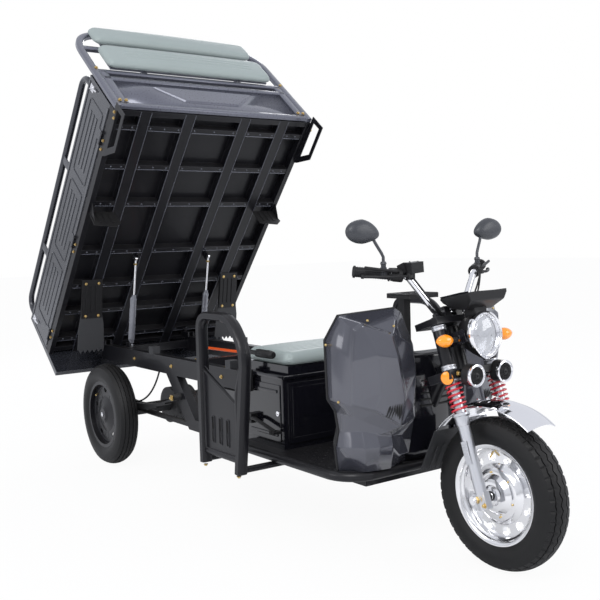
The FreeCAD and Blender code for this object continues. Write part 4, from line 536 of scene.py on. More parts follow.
# Tyres: sidewall profile with a zig-zag or ribbed tread cut into the crown
tyreShape = {
    "bead": (0.037, 0.152),
    "shoulder": (0.044, 0.231),
    "crown": 0.248,
    "bulge": 0.052,
    "grooveDepth": 0.0045,
}
treads = {
    "front": {"grooves": [-0.031, -0.0115, 0.0115, 0.031], "sway": 0.005, "pitches": 44, "width": 0.0016,
              "cuts": True},
    "rear": {"grooves": [-0.027, -0.0095, 0.0095, 0.027], "sway": 0.0012, "pitches": 56, "width": 0.0016,
             "cuts": False},
}


def tyreMesh(bm, centreX, centreAhead, tread):
    look = treads[tread]
    steps = look["pitches"] * 6
    edge, low = tyreShape["shoulder"]
    crownCurve = 0.0655
    crossings = []
    for groove in look["grooves"]:
        crossings += [(groove - look["width"] * 1.25, 0), (groove - look["width"], 1),
                      (groove + look["width"], 1), (groove + look["width"] * 1.25, 0)]
    places = sorted(crossings + [(-edge, 0), (edge, 0), (-0.0205, 0), (0.0, 0), (0.0205, 0),
                                 (-0.038, 0), (0.038, 0)])
    beadX, beadR = tyreShape["bead"]
    side = []
    for k in range(1, 9):
        share = k / 9
        bow = tyreShape["bulge"] - (beadX + (edge - beadX) * share)
        rib = 0.0006 if k in (2, 7) else 0
        side.append((beadX + (edge - beadX) * share + bow * math.sin(math.pi * min(share * 0.92 + 0.06, 1))
                     + rib, beadR + 0.01 + (low - beadR - 0.01) * share))
    rings = []
    for step in range(steps):
        angle = 2 * math.pi * step / steps
        phase = (step / 6) % 1
        swing = (4 * abs(phase - 0.5) - 1) * look["sway"]
        across = (step % 6 == 0) if look["cuts"] else False
        section = [(-x, r) for x, r in [(beadX * 0.94, beadR + 0.001), (beadX + 0.0005, beadR + 0.004)]
                   + side]
        for x, groove in places:
            moved = x + (swing * (1 - abs(x) / edge) if abs(x) < edge else 0)
            drop = crownCurve - math.sqrt(crownCurve ** 2 - min(abs(moved), edge) ** 2)
            radius = tyreShape["crown"] - drop * (tyreShape["crown"] - low) / (
                crownCurve - math.sqrt(crownCurve ** 2 - edge ** 2))
            if groove:
                radius -= tyreShape["grooveDepth"]
            elif across and abs(x) > 0.0205:
                radius -= tyreShape["grooveDepth"] * 0.8
            section.append((moved, radius))
        section += [(x, r) for x, r in
                    ([(beadX * 0.94, beadR + 0.001), (beadX + 0.0005, beadR + 0.004)] + side)[::-1]]
        rings.append([bm.verts.new(at(centreX + x, centreAhead, vehicle["wheelRadius"])
                                   + Vector((0, -math.cos(angle), math.sin(angle))) * r)
                      for x, r in section])
    for number, ring in enumerate(rings):
        after = rings[(number + 1) % steps]
        for k in range(len(ring)):
            following = (k + 1) % len(ring)
            bm.faces.new((ring[k], ring[following], after[following], after[k]))


for name, x, ahead, tread, wheelBody in (
        ("frontTyre", 0, vehicle["wheelbase"], "front", "front_wheel"),
        ("rearTyreRight", -0.388, 0, "rear", "rear_wheel_right"),
        ("rearTyreLeft", 0.388, 0, "rear", "rear_wheel_left")):
    bm = bmesh.new()
    tyreMesh(bm, x, ahead, tread)
    piece = made(name, bm, "tyreRubber", wheelBody, "tyre", sharp=28)
    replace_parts(piece, {"frontTyre": "front_tyre", "rearTyreRight": "rear_tyre_right",
                        "rearTyreLeft": "rear_tyre_left"}[name])
print("tyres made")

# Fork springs: coils on the fork tubes
coil = {"low": 0.2775, "high": 0.3795, "radius": 0.0245, "wire": 0.0036, "turns": 6.5, "legHalf": 0.100,
        "legForward": 0.012}
bm = bmesh.new()
for side in (-1, 1):
    points = []
    count = int(coil["turns"] * 20)
    for k in range(count + 1):
        angle = 2 * math.pi * k / 20
        points.append(onFork(coil["legHalf"] * side + coil["radius"] * math.cos(angle),
                             -coil["legForward"] + coil["radius"] * math.sin(angle),
                             coil["low"] + (coil["high"] - coil["low"]) * k / count))
    addTube(bm, points, coil["wire"], 8)
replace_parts(made("forkCoils", bm, "springRed", "steering", "spring_red"), "fork_springs")


def addWall(piece, thickness, offset=-1):
    wall = piece.modifiers.new("Wall", "SOLIDIFY")
    wall.thickness = thickness
    wall.offset = offset


# Cushions: crowned blocks with sewn channels
def paddedBlock(name, low, high, matrix, body, nodeName, channels, faceAxis, faceSign, crown=0.010,
                cells=(64, 28), depth=0.0045, edge=0.022, turned=0.04):
    size = [b - a for a, b in zip(low, high)]
    across = [axis for axis in range(3) if axis != faceAxis]
    bm = bmesh.new()
    columns, rows = cells
    grids = []
    for layer in (1, 0):
        grid = []
        for row in range(rows + 1):
            line = []
            v = row / rows
            for column in range(columns + 1):
                u = column / columns
                inset = []
                for share, length in ((u, size[across[0]]), (v, size[across[1]])):
                    distance = min(share, 1 - share) * length
                    inset.append(max(0, 1 - distance / edge))
                fall = edge * (1 - math.sqrt(max(0, 1 - min(1, math.hypot(*inset)) ** 2)))
                rise = crown * (1 - (2 * u - 1) ** 2) * (1 - (2 * v - 1) ** 2)
                thick = size[faceAxis]
                top = thick - crown + rise - fall * 0.95
                for centre, half, lengthFrom, lengthTo in channels:
                    if lengthFrom <= u <= lengthTo and abs(v - centre) < half:
                        top -= depth * (1 - abs(v - centre) / half)
                value = max(top, thick * 0.42) if layer else min(fall * 0.5, thick * 0.3)
                point = [0, 0, 0]
                flat = [(u - 0.5) * size[across[0]], (v - 0.5) * size[across[1]]]
                past = [abs(flat[k]) - (size[across[k]] / 2 - turned) for k in (0, 1)]
                if past[0] > 0 and past[1] > 0:
                    pull = max(past) / math.hypot(*past)
                    flat = [math.copysign(size[across[k]] / 2 - turned + past[k] * pull, flat[k])
                            for k in (0, 1)]
                point[across[0]] = low[across[0]] + size[across[0]] / 2 + flat[0]
                point[across[1]] = low[across[1]] + size[across[1]] / 2 + flat[1]
                point[faceAxis] = (low[faceAxis] + value) if faceSign > 0 else (high[faceAxis] - value)
                line.append(bm.verts.new(matrix @ Vector(point)))
            grid.append(line)
        grids.append(grid)
    top, bottom = grids
    for row in range(rows):
        for column in range(columns):
            for grid in grids:
                bm.faces.new((grid[row][column], grid[row][column + 1], grid[row + 1][column + 1],
                              grid[row + 1][column]))
    border = ([(0, c) for c in range(columns)] + [(r, columns) for r in range(rows)]
              + [(rows, c) for c in range(columns, 0, -1)] + [(r, 0) for r in range(rows, 0, -1)])
    for number, (r, c) in enumerate(border):
        r2, c2 = border[(number + 1) % len(border)]
        bm.faces.new((top[r][c], top[r2][c2], bottom[r2][c2], bottom[r][c]))
    piece = made(name, bm, "vinyl", body, "cushion", sharp=75)
    smooth = piece.modifiers.new("Smooth", "SUBSURF")
    smooth.levels = 1
    smooth.render_levels = 1
    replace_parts(piece, nodeName)
    return piece


drop = vehicle["hingeDrop"]
lowPad = [(0.36 + 0.14 * k, 0.022, 0.12, 0.88) for k in range(3)]
paddedBlock("lowerBackCushion", (-0.45, -(1.428 + 0.0463), drop + 0.312),
            (0.45, -(1.428 + 0.0003), drop + 0.488), bedFrame, "bed", "back_cushion_low", lowPad, 1, -1)
paddedBlock("upperBackCushion", (-0.44, -(1.428 + 0.0463), drop + 0.532),
            (0.44, -(1.428 + 0.0003), drop + 0.658), bedFrame, "bed", "back_cushion_high", [], 1, -1)
seatLow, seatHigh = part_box("driver_seat")
seatChannels = [(0.16 + 0.0755 * k, 0.012, 0.03, 0.97) for k in range(10)]
paddedBlock("driverCushion", tuple(seatLow), tuple(seatHigh), Matrix.Identity(4), "chassis", "driver_seat",
            seatChannels, 2, 1, crown=0.012, cells=(60, 120), depth=0.005, edge=0.03)
print("cushions made")

# Leg shields: creased outer panel, dark edging, ribbed intake and an inner liner
shieldCorners = {
    # x outward, ahead of the rear axle, height
    "A0": (0.372, 1.832, 0.830), "A1": (0.400, 1.797, 0.750), "A2": (0.392, 1.795, 0.554),
    "A3": (0.365, 1.801, 0.509), "A4": (0.350, 1.796, 0.440), "A5": (0.362, 1.790, 0.383),
    "A6": (0.350, 1.786, 0.303), "B0": (0.205, 1.921, 0.848), "B9": (0.183, 1.925, 0.834),
    "B1": (0.128, 1.922, 0.719), "B2": (0.118, 1.925, 0.619), "B3": (0.125, 1.922, 0.470),
    "B4": (0.150, 1.878, 0.410), "B5": (0.155, 1.876, 0.345), "B6": (0.164, 1.858, 0.303),
    "C0": (0.340, 1.866, 0.788), "C9": (0.318, 1.888, 0.806), "C1": (0.225, 1.934, 0.766),
    "C2": (0.203, 1.939, 0.688), "C3": (0.170, 1.932, 0.550), "C4": (0.345, 1.850, 0.531),
    "C5": (0.350, 1.861, 0.681), "M1": (0.285, 1.925, 0.700), "M2": (0.270, 1.918, 0.580),
    "D1": (0.290, 1.903, 0.511), "D2": (0.200, 1.934, 0.453), "N": (0.148, 1.940, 0.520),
    "E1": (0.305, 1.858, 0.479), "E2": (0.225, 1.902, 0.437), "G4": (0.295, 1.846, 0.440),
    "G5": (0.300, 1.868, 0.385), "G6": (0.290, 1.860, 0.303), "F4": (0.258, 1.878, 0.428),
    "F5": (0.255, 1.888, 0.385), "F6": (0.245, 1.870, 0.303), "H4": (0.205, 1.892, 0.418),
    "H5": (0.200, 1.894, 0.385), "H6": (0.196, 1.876, 0.303), "R1": (0.100, 1.892, 0.690),
    "R3": (0.104, 1.884, 0.470), "R5": (0.112, 1.868, 0.345), "R6": (0.120, 1.850, 0.303),
}
shieldPanels = ["A0 B0 C1 C9", "A0 C9 C0", "B0 B9 C1", "A0 C0 C5 A1", "A1 C5 C4 A2", "B9 B1 C2 C1",
                "B1 B2 C3 C2", "B2 N C3", "B2 B3 N", "B3 D2 N", "C3 N D2", "A2 C4 E1 A3", "C4 D1 E1",
                "D1 D2 E2 E1", "A3 E1 G4 A4", "E1 E2 F4 G4", "E2 H4 F4", "D2 B3 H4 E2", "B3 B4 H4",
                "A4 G4 G5 A5", "G4 F4 F5 G5", "F4 H4 H5 F5", "H4 B4 B5 H5", "B1 R1 B2", "B2 R1 R3 B3",
                "B3 R3 R5 B4", "B4 R5 B5", "B5 R5 R6 B6", "A5 G5 G6 A6", "G5 F5 F6 G6", "F5 H5 H6 F6",
                "H5 B5 B6 H6",]
bulgePanels = ["C0 C9 M1 C5", "C9 C1 C2 M1", "M1 C2 C3 M2", "C5 M1 M2 C4", "C4 M2 D1", "M2 C3 D2 D1"]
shieldLook = {"thick": 0.004, "step": 0.009, "chamfer": 0.010, "round": 0.004, "slats": 6}


def shieldPoint(key, side, back=0.0):
    x, forward, z = shieldCorners[key]
    return at(x * side, forward - back, z)


def legShield(side, label):
    bm = bmesh.new()
    verts = {key: bm.verts.new(shieldPoint(key, side)) for key in shieldCorners}
    for panel in shieldPanels:
        bm.faces.new([verts[key] for key in panel.split()])
    bulge = [bm.faces.new([verts[key] for key in panel.split()]) for panel in bulgePanels]
    bmesh.ops.recalc_face_normals(bm, faces=bm.faces)
    if sum(face.normal.y * face.calc_area() for face in bm.faces) > 0:
        bmesh.ops.reverse_faces(bm, faces=bm.faces)
    bmesh.ops.inset_region(bm, faces=bulge, thickness=shieldLook["chamfer"], depth=shieldLook["step"])
    mesh = bpy.data.meshes.new("shield" + label)
    bm.to_mesh(mesh)
    bm.free()
    for polygon in mesh.polygons:
        polygon.use_smooth = True
    mesh.materials.append(finishes["shieldGrey"])
    piece = bpy.data.objects.new("shield" + label, mesh)
    scene.collection.objects.link(piece)
    creases = piece.modifiers.new("Creases", "BEVEL")
    creases.width = shieldLook["round"]
    creases.segments = 3
    creases.limit_method = "ANGLE"
    creases.angle_limit = math.radians(7)
    creases.harden_normals = True
    addWall(piece, shieldLook["thick"])
    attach(piece, "chassis")
    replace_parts(piece, "shield_wing_" + label.lower())

    bm = bmesh.new()
    addTube(bm,
            [shieldPoint(key, side, 0.006)
             for key in ("B2", "B1", "B9", "B0", "A0", "A1", "A2", "A3", "A4", "A5", "A6")], 0.0045, 8)
    corner = {key: shieldPoint(key, side) for key in ("M2", "C3", "D1", "D2")}
    for number in range(shieldLook["slats"]):
        share = 0.40 + 0.5 * number / shieldLook["slats"]
        top = corner["M2"].lerp(corner["C3"], share).lerp(corner["D1"].lerp(corner["D2"], share), 0.25)
        low = corner["M2"].lerp(corner["C3"], share).lerp(corner["D1"].lerp(corner["D2"], share), 0.93)
        addTube(bm, [top + Vector((0, -0.004, 0)), top.lerp(low, 0.5) + Vector((0, -0.010, 0)),
                     low + Vector((0, -0.004, 0))], 0.0052, 8)
    made("shieldTrim" + label, bm, "satinPlastic", "chassis", "frame_black", sharp=60)

    bm = bmesh.new()
    rear = 0.03
    outline = ["A0", "A1", "A2", "A3", "A4", "A5", "A6", "B6", "B5", "B4", "B3", "B2", "B1", "B9", "B0"]
    points = [shieldPoint(key, side, 0.004) for key in outline]
    middle = sum(points, Vector()) / len(points)
    inner = [middle + (point - middle) * 0.9 + Vector((0, rear, 0)) for point in points]
    pocket = [middle + (point - middle) * 0.62 + Vector((0, rear, 0)) for point in points]
    deep = [middle + (point - middle) * 0.56 + Vector((0, -0.012, 0)) for point in points]
    rings = [[bm.verts.new(point) for point in ring] for ring in (points, inner, pocket, deep)]
    for first, second in zip(rings, rings[1:]):
        for k in range(len(first)):
            following = (k + 1) % len(first)
            bm.faces.new((first[k], first[following], second[following], second[k]))
    bm.faces.new(rings[-1])
    liner = made("shieldLiner" + label, bm, "satinPlastic", "chassis", "frame_black", sharp=30, bevel=0.005)
    addWall(liner, 0.0025)

    bm = bmesh.new()
    for key, other, share in (("C9", "B0", 0.16), ("C1", "B0", 0.3), ("A1", "A2", 0.08), ("A2", "C4", 0.45)):
        spot = shieldPoint(key, side).lerp(shieldPoint(other, side), share)
        addLathe(bm, [(0, 0.0045), (0.003, 0.004), (0.0045, 0.002)], spot - Vector((0, -0.001, 0)),
                 (0, -1, 0.2), 12)
    made("shieldScrews" + label, bm, "yellowZinc", "chassis", "steel")


legShield(-1, "Right")
legShield(1, "Left")

# Panel between the leg shields, under the steering head
fascia = {"half": 0.15, "levels": [(0.303, 1.850), (0.345, 1.868), (0.46, 1.885), (0.58, 1.893),
                                   (0.672, 1.893), (0.690, 1.875)], "bow": 0.018}
bm = bmesh.new()
rows = []
for z, forward in fascia["levels"]:
    row = []
    for step in range(13):
        share = step / 6 - 1
        ridge = 0.006 if abs(share) < 0.6 else 0
        row.append(bm.verts.new(at(fascia["half"] * share, forward - fascia["bow"] * share ** 2 + ridge, z)))
    rows.append(row)
for first, second in zip(rows, rows[1:]):
    for k in range(12):
        bm.faces.new((first[k], first[k + 1], second[k + 1], second[k]))
piece = made("centreFascia", bm, "glossBlack", "chassis", "shield_grey", sharp=60, bevel=0.004)
addWall(piece, 0.003)
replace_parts(piece, "shield_centre")
bm = bmesh.new()
for k in range(5):
    addBlock(bm, (-0.07, -0.004, -0.003), (0.07, 0.004, 0.003),
             Matrix.Translation(at(0, 1.893, 0.50 + 0.022 * k)) @ Matrix.Rotation(0.5, 4, "X"))
made("fasciaSlats", bm, "satinPlastic", "chassis", "frame_black", bevel=0.001)
print("leg shields made")

# Headlight: black bowl, chrome bezel, reflector with two projectors and a daylight ring, clear cover
lamp = {"ahead": 2.136, "z": 0.757, "halfWide": 0.070, "halfTall": 0.075, "narrow": 0.22}


def lampRing(bm, scale, forward, lift=0.0, steps=56):
    ring = []
    for step in range(steps):
        angle = 2 * math.pi * step / steps
        low = max(0.0, -math.cos(angle)) ** 1.4
        x = lamp["halfWide"] * math.sin(angle) * (1 - lamp["narrow"] * low)
        z = lamp["halfTall"] * math.cos(angle)
        tilt = 0.006 * math.cos(angle) * scale
        ring.append(bm.verts.new(at(x * scale, forward - tilt, lamp["z"] + z * scale + lift)))
    return ring


face = lamp["ahead"]
bm = bmesh.new()
bridge(bm, [lampRing(bm, scale, face - back) for scale, back in (
    (0.42, 0.098), (0.60, 0.092), (0.80, 0.070), (0.93, 0.045), (1.0, 0.020), (1.01, 0.012), (0.97, 0.010),
    (0.9, 0.030), (0.7, 0.062), (0.4, 0.075))], closed=True)
for side in (-1, 1):
    for z in (0.722, 0.772):
        addBolt(bm, at(0.066 * side, face - 0.045, z), (side, -0.2, 0), 0.005)
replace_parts(made("headlightBowl", bm, "satinPlastic", "steering", "frame_black"), "headlight_shell")
bm = bmesh.new()
bridge(bm, [lampRing(bm, scale, face - back) for scale, back in (
    (0.98, 0.020), (1.04, 0.020), (1.06, 0.010), (1.04, 0.001), (0.98, -0.003), (0.90, 0.002), (0.88, 0.010),
    (0.92, 0.016))], closed=True)
made("headlightBezel", bm, "chromePlate", "steering", "chrome")
bm = bmesh.new()
bridge(bm, [lampRing(bm, scale, face - back) for scale, back in (
    (0.92, 0.012), (0.86, 0.016), (0.82, 0.030), (0.66, 0.040), (0.62, 0.036), (0.58, 0.046), (0.2, 0.05))])
for k in range(9):
    x = -0.032 + 0.008 * k
    addBlock(bm, (x - 0.0012, -0.004, -0.022), (x + 0.0012, 0.004, -0.004),
             Matrix.Translation(at(0, face - 0.035, lamp["z"] - 0.016)))
for x in (-0.022, 0.022):
    addLathe(bm, [(0, 0.013), (0.012, 0.017), (0.014, 0.0175), (0.014, 0.016), (0.002, 0.010)],
             at(x, face - 0.045, lamp["z"] + 0.010), (0, -1, 0), 28)
addBlock(bm, (-0.05, -0.006, -0.003), (0.05, 0.006, 0.002),
         Matrix.Translation(at(0, face - 0.032, lamp["z"] - 0.012)))
made("headlightReflector", bm, "lampChrome", "steering", "chrome")
bm = bmesh.new()
for x in (-0.022, 0.022):
    addLathe(bm, [(0, 0.0145), (0.006, 0.0135), (0.010, 0.009), (0.0115, 0.003)],
             at(x, face - 0.038, lamp["z"] + 0.010), (0, -1, 0), 24)
made("projectorLenses", bm, "ledLens", "steering", "lamp_clear")
bm = bmesh.new()
points = []
for step in range(25):
    angle = math.radians(-105 + 210 * step / 24)
    points.append(at(lamp["halfWide"] * 0.76 * math.sin(angle), face - 0.026,
                     lamp["z"] + lamp["halfTall"] * 0.76 * math.cos(angle)))
addTube(bm, points, 0.0042, 8)
made("daylightRing", bm, "ledWhite", "steering", "lamp_clear", sharp=60)
bm = bmesh.new()
bridge(bm, [lampRing(bm, scale, face + out) for scale, out in (
    (0.90, -0.004), (0.89, 0.003), (0.80, 0.009), (0.62, 0.014), (0.40, 0.017), (0.15, 0.018), (0.02, 0.018),
    (0.02, 0.0155), (0.14, 0.0155), (0.39, 0.0145), (0.61, 0.0115), (0.79, 0.0065), (0.87, 0.001),
    (0.88, -0.004))], closed=True)
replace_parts(made("headlightCover", bm, "clearLens", "steering", "lamp_clear", sharp=50), "headlight_lens")
print("headlight made")

# Horns: chrome rims, sound slots and centre caps
hornLook = {"half": 0.067, "face": 2.148, "z": 0.633, "radius": 0.034}
rims = bmesh.new()
grilles = bmesh.new()
for side in (-1, 1):
    front = at(hornLook["half"] * side, hornLook["face"], hornLook["z"])
    ahead = Vector((0, -1, 0))
    addLathe(rims, [(-0.012, 0.0345), (-0.002, 0.038), (0.004, 0.037), (0.006, 0.032), (0.003, 0.0285),
                    (-0.001, 0.029), (-0.004, 0.032)], front, ahead, 40, closed=True)
    for radius in (0.012, 0.0175, 0.023):
        addRing(grilles, front + ahead * 0.0015, ahead, radius, 0.0017, 32, 6)
    for k in range(12):
        turn = math.radians(30 * k)
        way = Vector((math.cos(turn), 0, math.sin(turn)))
        addRod(grilles, front + ahead * 0.001 + way * 0.008, front + ahead * 0.001 + way * 0.028, 0.0014, 6)
    addLathe(grilles, [(0, 0.010), (0.004, 0.0095), (0.006, 0.005), (0.0065, 0.002)], front, ahead, 20)
    addBolt(grilles, front + ahead * 0.006, ahead, 0.0035, washer=False)
made("hornRims", rims, "chromePlate", "steering", "chrome")
made("hornGrilles", grilles, "satinPlastic", "steering", "frame_black")
# side reflectors in the amber lens finish; its emission makes them a painted glow, since they are no lamps
bm = bmesh.new()
for side in (-1, 1):
    addLathe(bm, [(0, 0.0215), (0.004, 0.0215), (0.006, 0.018), (0.0065, 0.004)],
             at(0.128 * side, 2.080, 0.625), (side, -0.35, 0), 28)
made("sideReflectors", bm, "amberLens", "steering", "amber")
bm = bmesh.new()
for side in (-1, 1):
    addLathe(bm, [(-0.008, 0.010), (0.0, 0.024), (0.003, 0.024)], at(0.128 * side, 2.080, 0.625),
             (side, -0.35, 0), 28)
    addRod(bm, at(0.088 * side, 2.086, 0.746), at(0.136 * side, 2.084, 0.746), 0.0085, 16)
    for k in range(4):
        addRing(bm, at((0.098 + 0.009 * k) * side, 2.0855, 0.746), (1, 0, 0), 0.0085, 0.0016, 18, 6)
made("lampStalks", bm, "satinPlastic", "steering", "frame_black")

# Visor over the lamp, with its screen, and the ears that hold the lamp
visor = [
    # ahead, half width, top, bottom, half width of the bottom
    (1.974, 0.050, 0.872, 0.854, 0.036), (2.030, 0.064, 0.882, 0.838, 0.048),
    (2.100, 0.081, 0.894, 0.840, 0.062), (2.141, 0.091, 0.901, 0.872, 0.078),
]
bm = bmesh.new()
rings = []
for forward, half, top, low, lowHalf in visor:
    outline = [(-half, top), (-half * 0.55, top + 0.002), (half * 0.55, top + 0.002), (half, top),
               (half, top - 0.007), (lowHalf, low), (-lowHalf, low), (-half, top - 0.007)]
    rings.append([bm.verts.new(at(x, forward, z)) for x, z in outline])
bridge(bm, rings)
addBlock(bm, (-0.030, -0.022, -0.030), (0.030, 0.022, 0.020), Matrix.Translation(at(0, 2.086, 0.842)))
made("lampVisor", bm, "satinPlastic", "steering", "frame_black", bevel=0.003)
bm = bmesh.new()
addTube(bm,
        [at(-0.060, 2.136, 0.884), at(-0.048, 2.102, 0.858), at(0.048, 2.102, 0.858),
         at(0.060, 2.136, 0.884)], 0.0022, 6)
addTube(bm, [at(-0.089, 2.139, 0.902), at(-0.078, 2.095, 0.896), at(-0.049, 1.977, 0.875),
             at(0.049, 1.977, 0.875), at(0.078, 2.095, 0.896), at(0.089, 2.139, 0.902)], 0.0025, 8)
for side in (-1, 1):
    addTube(bm,
            [at(0.052 * side, 2.105, 0.856), at(0.045 * side, 2.040, 0.846),
             at(0.036 * side, 1.980, 0.858)], 0.0022, 6)
    addBlock(bm, (0.075 * side - 0.004, -0.096, 0.488), (0.075 * side + 0.004, -0.012, 0.530), forkFrame)
    addBolt(bm, onFork(0.079 * side, -0.075, 0.509), (side, 0, 0), 0.008)
    for x in (0.016, 0.030):
        addBolt(bm, at(x * side, 2.118, 0.866), (0, -0.5, -0.8), 0.003)
made("visorEdges", bm, "glossBlack", "steering", "frame_black")
bm = bmesh.new()
addPrism(bm, [(-0.034, -0.05), (0.034, -0.05), (0.045, 0.03), (-0.045, 0.03)], 0.002,
         Matrix.Translation(at(0, 2.036, 0.8855)) @ Matrix.Rotation(math.radians(-9.5), 4, "X")
         @ Matrix.Diagonal((1, -1, 1, 1)))
made("dashScreen", bm, "glossBlack", "steering", "frame_black", bevel=0.0008)

# Fork: covers with silver collars, slider collars, ribbed plates, feet and axle nuts
forkPlaces = {"half": 0.100, "forward": 0.012}
covers, collars, brass = bmesh.new(), bmesh.new(), bmesh.new()
for side in (-1, 1):
    def leg(up, out=0.0, forward=0.0):
        return onFork((forkPlaces["half"] + out) * side, -forkPlaces["forward"] - forward, up)
    along = leg(1) - leg(0)
    addLathe(covers, [(0, 0.0205), (0.004, 0.0225), (0.135, 0.0225), (0.139, 0.0205)], leg(0.418), along, 28)
    for up in (0.414, 0.548):
        addLathe(collars, [(0, 0.0225), (0.002, 0.0243), (0.010, 0.0243), (0.011, 0.0225), (0.0125, 0.0243),
                           (0.017, 0.0243), (0.019, 0.022)], leg(up), along, 28)
    addLathe(collars, [(0, 0.0195), (0.006, 0.0225), (0.030, 0.0235), (0.034, 0.0285), (0.040, 0.0285),
                       (0.043, 0.020)], leg(0.232), along, 32)
    addLathe(collars, [(0, 0.0285), (0.005, 0.0285), (0.008, 0.020)], leg(0.3790), along, 32)
    addBlock(collars, (0.117 * side - 0.004, -0.024, 0.110), (0.117 * side + 0.005, 0.000, 0.185), forkFrame)
    for k in range(7):
        addBlock(collars, (0.1215 * side - 0.002, -0.021, 0.117 + 0.0095 * k),
                 (0.1215 * side + 0.002, -0.003, 0.1205 + 0.0095 * k), forkFrame)
    addLathe(collars, [(-0.014, 0.021), (-0.010, 0.0235), (0.010, 0.0235), (0.014, 0.021)],
             onFork(0.100 * side, -0.006, 0.0), (1, 0, 0), 28)
    addBlock(collars, (0.100 * side - 0.013, -0.034, -0.034), (0.100 * side + 0.013, 0.012, 0.020), forkFrame)
    addBolt(brass, onFork(0.114 * side, -0.006, 0.0), (side, 0, 0), 0.012)
    addBolt(brass, onFork(0.113 * side, -0.024, -0.022), (side, 0, 0), 0.006)
    addBolt(covers, leg(0.592), along, 0.011)
    addBolt(brass, onFork(0.100 * side, -0.046, 0.398), (0, -1, 0), 0.006)
made("forkCovers", covers, "frameBlack", "steering", "frame_black")
made("forkCollars", collars, "satinAlloy", "steering", "bright_alloy", bevel=0.0008)
made("forkNuts", brass, "yellowZinc", "steering", "steel")

# Front wheel: rolled rim, disc with slots, stepped hub
frontWheel = {"slots": 12, "step": 3, "slotLow": 0.106, "slotHigh": 0.133, "wide": 2.5}
centre = at(0, vehicle["wheelbase"], vehicle["wheelRadius"])
bm = bmesh.new()
half = [(0.0, 0.1445), (0.028, 0.1455), (0.037, 0.150), (0.0405, 0.156), (0.0415, 0.163), (0.0395, 0.166),
        (0.0375, 0.163), (0.0355, 0.1535), (0.031, 0.1475), (0.0265, 0.1405), (0.020, 0.1385), (0.0, 0.138)]
addLathe(bm, [(-x, r) for x, r in half[:-1]] + [(x, r) for x, r in half[::-1]], centre, (1, 0, 0), 96,
         closed=True)
steps = 360 // frontWheel["step"]
radii = [(0.058, 0.020), (0.070, 0.014), (0.086, 0.010), (0.102, 0.009), (0.106, 0.009), (0.111, 0.009),
         (0.128, 0.009), (0.133, 0.009), (0.137, 0.009), (0.1415, 0.009)]
grid = {}
for layer in (-1, 1):
    for row, (radius, thick) in enumerate(radii):
        for step in range(steps):
            angle = math.radians(step * frontWheel["step"])
            grid[layer, row, step] = bm.verts.new(centre
                + Vector((thick * layer, -math.cos(angle) * radius, math.sin(angle) * radius)))


def openCell(row, step):
    inPitch = step % 10
    return row == 5 and 2 <= inPitch <= 6 or row in (4, 6) and 3 <= inPitch <= 5


for row in range(len(radii) - 1):
    for step in range(steps):
        following = (step + 1) % steps
        if openCell(row, step):
            for other, edge in (((row, step - 1), ((row, step), (row + 1, step))),
                                ((row, step + 1), ((row, following), (row + 1, following))),
                                ((row - 1, step), ((row, step), (row, following))),
                                ((row + 1, step), ((row + 1, step), (row + 1, following)))):
                if not openCell(other[0], other[1] % steps):
                    bm.faces.new((grid[(-1,) + edge[0]], grid[(-1,) + edge[1]], grid[(1,) + edge[1]],
                                  grid[(1,) + edge[0]]))
            continue
        for layer in (-1, 1):
            bm.faces.new((grid[layer, row, step], grid[layer, row, following],
                          grid[layer, row + 1, following], grid[layer, row + 1, step]))
hub = [(0.0, 0.100), (0.011, 0.100), (0.014, 0.096), (0.019, 0.088), (0.024, 0.084), (0.026, 0.078),
       (0.027, 0.066), (0.033, 0.060), (0.041, 0.052), (0.043, 0.044), (0.044, 0.034), (0.052, 0.030),
       (0.055, 0.024), (0.056, 0.012)]
addLathe(bm, [(-x, r) for x, r in hub[::-1]] + hub[1:], centre, (1, 0, 0), 72)
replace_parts(made("frontRim", bm, "polishedAlloy", "front_wheel", "bright_alloy", sharp=26), "front_rim")
bm = bmesh.new()
for side in (-1, 1):
    for k in range(6):
        angle = math.radians(60 * k + 15)
        addBolt(bm, centre + Vector((0.0265 * side, math.cos(angle) * 0.072, math.sin(angle) * 0.072)),
                (side, 0, 0), 0.0035, washer=False)
addRod(bm, centre + Vector((-0.012, 0.02, 0.137)), centre + Vector((-0.030, 0.018, 0.118)), 0.0035, 10)
made("frontWheelScrews", bm, "yellowZinc", "front_wheel", "steel")
bm = bmesh.new()
for side in (-1, 1):
    addLathe(bm, [(0, 0.0150), (0.004, 0.018), (0.020, 0.018), (0.024, 0.015)],
             centre + Vector((0.0585 * side, 0, 0)), (side, 0, 0), 24)
made("hubSeals", bm, "satinPlastic", "steering", "frame_black")
bm = bmesh.new()
for side in (-1, 1):
    points = []
    for k in range(41):
        angle = math.radians(55 + 87 * k / 40)
        points.append(centre + Vector((0.063 * side, -math.cos(angle) * 0.2865, math.sin(angle) * 0.2865)))
    addTube(bm, points, 0.0024, 8)
for angle in (96, 104):
    for side in (-1, 1):
        radial = Vector((0, -math.cos(math.radians(angle)), math.sin(math.radians(angle))))
        addBolt(bm, centre + radial * 0.3045 + Vector((0.022 * side, 0, 0)), radial, 0.005)
made("mudguardEdge", bm, "chromePlate", "steering", "chrome")
print("front end made")

